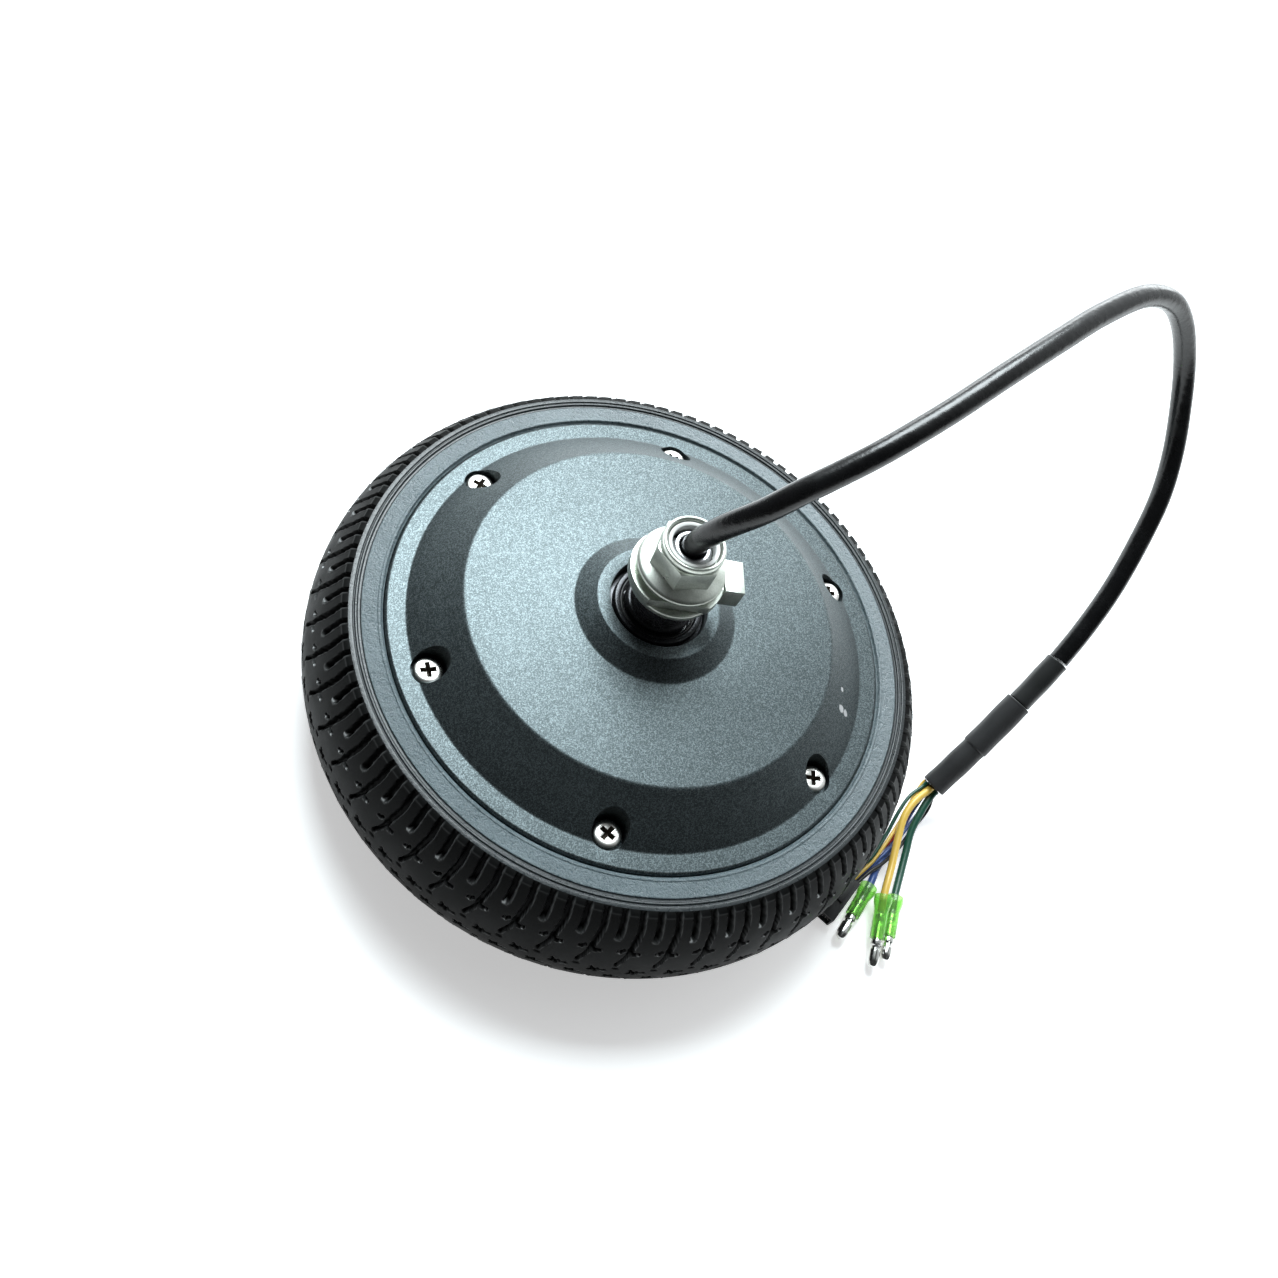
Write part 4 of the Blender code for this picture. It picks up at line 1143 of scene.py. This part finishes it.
def make_washers():
    """The plain washer, the anti-rotation washer with its flats and lug, and the locking ring."""
    low, top = WASHER_Z
    washer = turned("plain_washer", [
        (NUT_BORE_R, top), (WASHER_R, top, 0.6), (WASHER_R, low, 0.6), (NUT_BORE_R, low),
    ], ZINC, 160, 0.2)
    settle(washer, "axle_side", "zinc", "round_washer")

    low, top = TORQUE_Z
    plate = turned("lug_washer", [
        (NUT_BORE_R, top), (TORQUE_R, top), (TORQUE_R, low), (NUT_BORE_R, low),
    ], ZINC, 160, 0.0)
    cut(plate, block("flats", (60.0, TORQUE_FLATS, 20.0), (0.0, 0.0, 82.0), TORQUE_AZIMUTH), "INTERSECT")
    cut(plate, block("lug", LUG_SIZE, LUG_CENTRE, TORQUE_AZIMUTH), "UNION")
    bevelled(plate, 0.8, 3)
    settle(plate, "axle_side", "zinc", "torque_washer")

    low, top = LOCK_Z
    lock = turned("locking_ring", [
        (NUT_BORE_R, top), (LOCK_R, top), (LOCK_R, low), (NUT_BORE_R, low),
    ], ZINC, 96, 0.3)
    settle(lock, "axle_side", "zinc", "lock_washer")


def make_hexagon():
    """The nut's hexagon with its corners chamfered at the top, bored through."""
    base = NUT_Z[0]
    low, top = base + 0.8, HEXAGON_TOP
    hexagon = turned("hexagon", [(0.0, low), (NUT_CORNER_R, low), (NUT_CORNER_R, top), (0.0, top)],
                     ZINC, 6, 0.0, closed=False, turn=NUT_AZIMUTH)
    chamfer = turned("chamfer", [(0.0, top), (9.9, top), (11.0, 95.1), (11.0, base), (0.0, base)],
                     None, 128, 0.0, closed=False)
    cut(hexagon, chamfer, "INTERSECT")
    bore = turned("bore", [(0.0, 99.0), (8.2, 99.0), (8.2, base - 1.0), (0.0, base - 1.0)], None, 96, 0.0,
                  closed=False)
    cut(hexagon, bore)
    return bevelled(hexagon, 0.25, 2, 35.0)


def make_nut():
    """The flange nut with its turned collar, and the nylon ring held in the collar."""
    base, top = NUT_Z
    nut = turned("axle_nut", [
        (NUT_BORE_R, 94.6), (7.9, 94.6), (7.9, top - 0.5, 0.2), (8.35, top, 0.3), (9.0, top, 0.5),
        (9.45, top - 1.0, 0.6), (9.45, 96.3, 0.3), (8.9, 95.7, 0.2), (8.6, 95.2), (8.6, base + 3.0),
        (12.6, base + 1.5, 0.5), (NUT_FLANGE_R, base + 1.0, 0.4), (NUT_FLANGE_R, base, 0.4),
        (NUT_BORE_R, base),
    ], ZINC, 160, 0.15)
    cut(nut, make_hexagon(), "UNION")
    bake(nut, 28.0)
    settle(nut, "axle_side", "zinc", "flange_nut")
    insert = turned("nylon_insert", [
        (NUT_BORE_R, 94.9), (7.6, 94.9), (7.6, 97.5, 0.4), (NUT_BORE_R, 97.2, 0.4),
    ], NYLON, 96, 0.2)
    settle(insert, "axle_side", "nylon", "nut_insert")


make_axle_and_seal()
make_washers()
make_nut()


# ---- floor and light

FLOOR_HALF = 12.0
FLOOR_DROP = 0.0002
BACKDROP = 0.86
COOL_WHITE = (0.93, 0.98, 1.0)
KEY_WHITE = (0.88, 0.97, 1.0)
BRIGHT_SIDE = (0.0, 0.92, 0.16)
SKY_RANGE = (("From Min", 0.1), ("From Max", 0.95), ("To Min", 0.04), ("To Max", 1.25))


def area_light(name, at, target, size, power, colour):
    data = bpy.data.lights.new(name, "AREA")
    data.shape = "RECTANGLE"
    data.size, data.size_y = size
    data.energy = power
    data.color = colour
    obj = bpy.data.objects.new(name, data)
    obj.location = at
    obj.rotation_euler = (Vector(target) - Vector(at)).to_track_quat("-Z", "Y").to_euler()
    scene.collection.objects.link(obj)


def make_floor():
    builder = bmesh.new()
    bmesh.ops.create_grid(builder, x_segments=4, y_segments=4, size=FLOOR_HALF)
    mesh = bpy.data.meshes.new("floor")
    builder.to_mesh(mesh)
    builder.free()
    look = Look("floor_paper", (0.93, 0.93, 0.93), 0.9,
                Emission_Color=(1.0, 1.0, 1.0, 1.0), Emission_Strength=0.5)
    look.bump(look.noise(6.0), 0.02)
    floor = new_object("floor", mesh, look.material)
    floor.location.z = -FLOOR_DROP
    floor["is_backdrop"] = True


def make_world():
    """Soft light from the far side; the camera itself sees a plain pale backdrop."""
    world = bpy.data.worlds.new("studio")
    scene.world = world
    world.use_nodes = True
    tree = world.node_tree
    place = tree.nodes.new("ShaderNodeTexCoord")
    facing = tree.nodes.new("ShaderNodeVectorMath")
    facing.operation = "DOT_PRODUCT"
    facing.inputs[1].default_value = Vector(BRIGHT_SIDE).normalized()
    shades = tree.nodes.new("ShaderNodeMapRange")
    for socket, value in SKY_RANGE:
        shades.inputs[socket].default_value = value
    tree.links.new(place.outputs["Generated"], facing.inputs[0])
    tree.links.new(facing.outputs["Value"], shades.inputs["Value"])
    seen = tree.nodes.new("ShaderNodeLightPath")
    backdrop = tree.nodes.new("ShaderNodeMix")
    backdrop.inputs["B"].default_value = BACKDROP
    tree.links.new(seen.outputs["Is Camera Ray"], backdrop.inputs["Factor"])
    tree.links.new(shades.outputs["Result"], backdrop.inputs["A"])
    tree.links.new(backdrop.outputs["Result"], tree.nodes["Background"].inputs["Strength"])
    tree.nodes["Background"].inputs["Color"].default_value = (*COOL_WHITE, 1.0)


make_floor()
make_world()
area_light("key", (-0.42, 0.80, 1.36), (0.0, 0.0, 0.03), (1.0, 0.8), 46.0, KEY_WHITE)
area_light("back_strip", (-0.2, 2.0, 0.40), (0.0, 0.0, 0.05), (2.4, 0.5), 24.0, COOL_WHITE)
scene.view_settings.view_transform = "Standard"


# ---- finish

def plain(value):
    if hasattr(value, "__len__"):
        return [plain(item) for item in value]
    return float(value)


def write_sizes():
    {"cad": plain(CAD_BOX), "visual": plain(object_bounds())}


write_sizes()
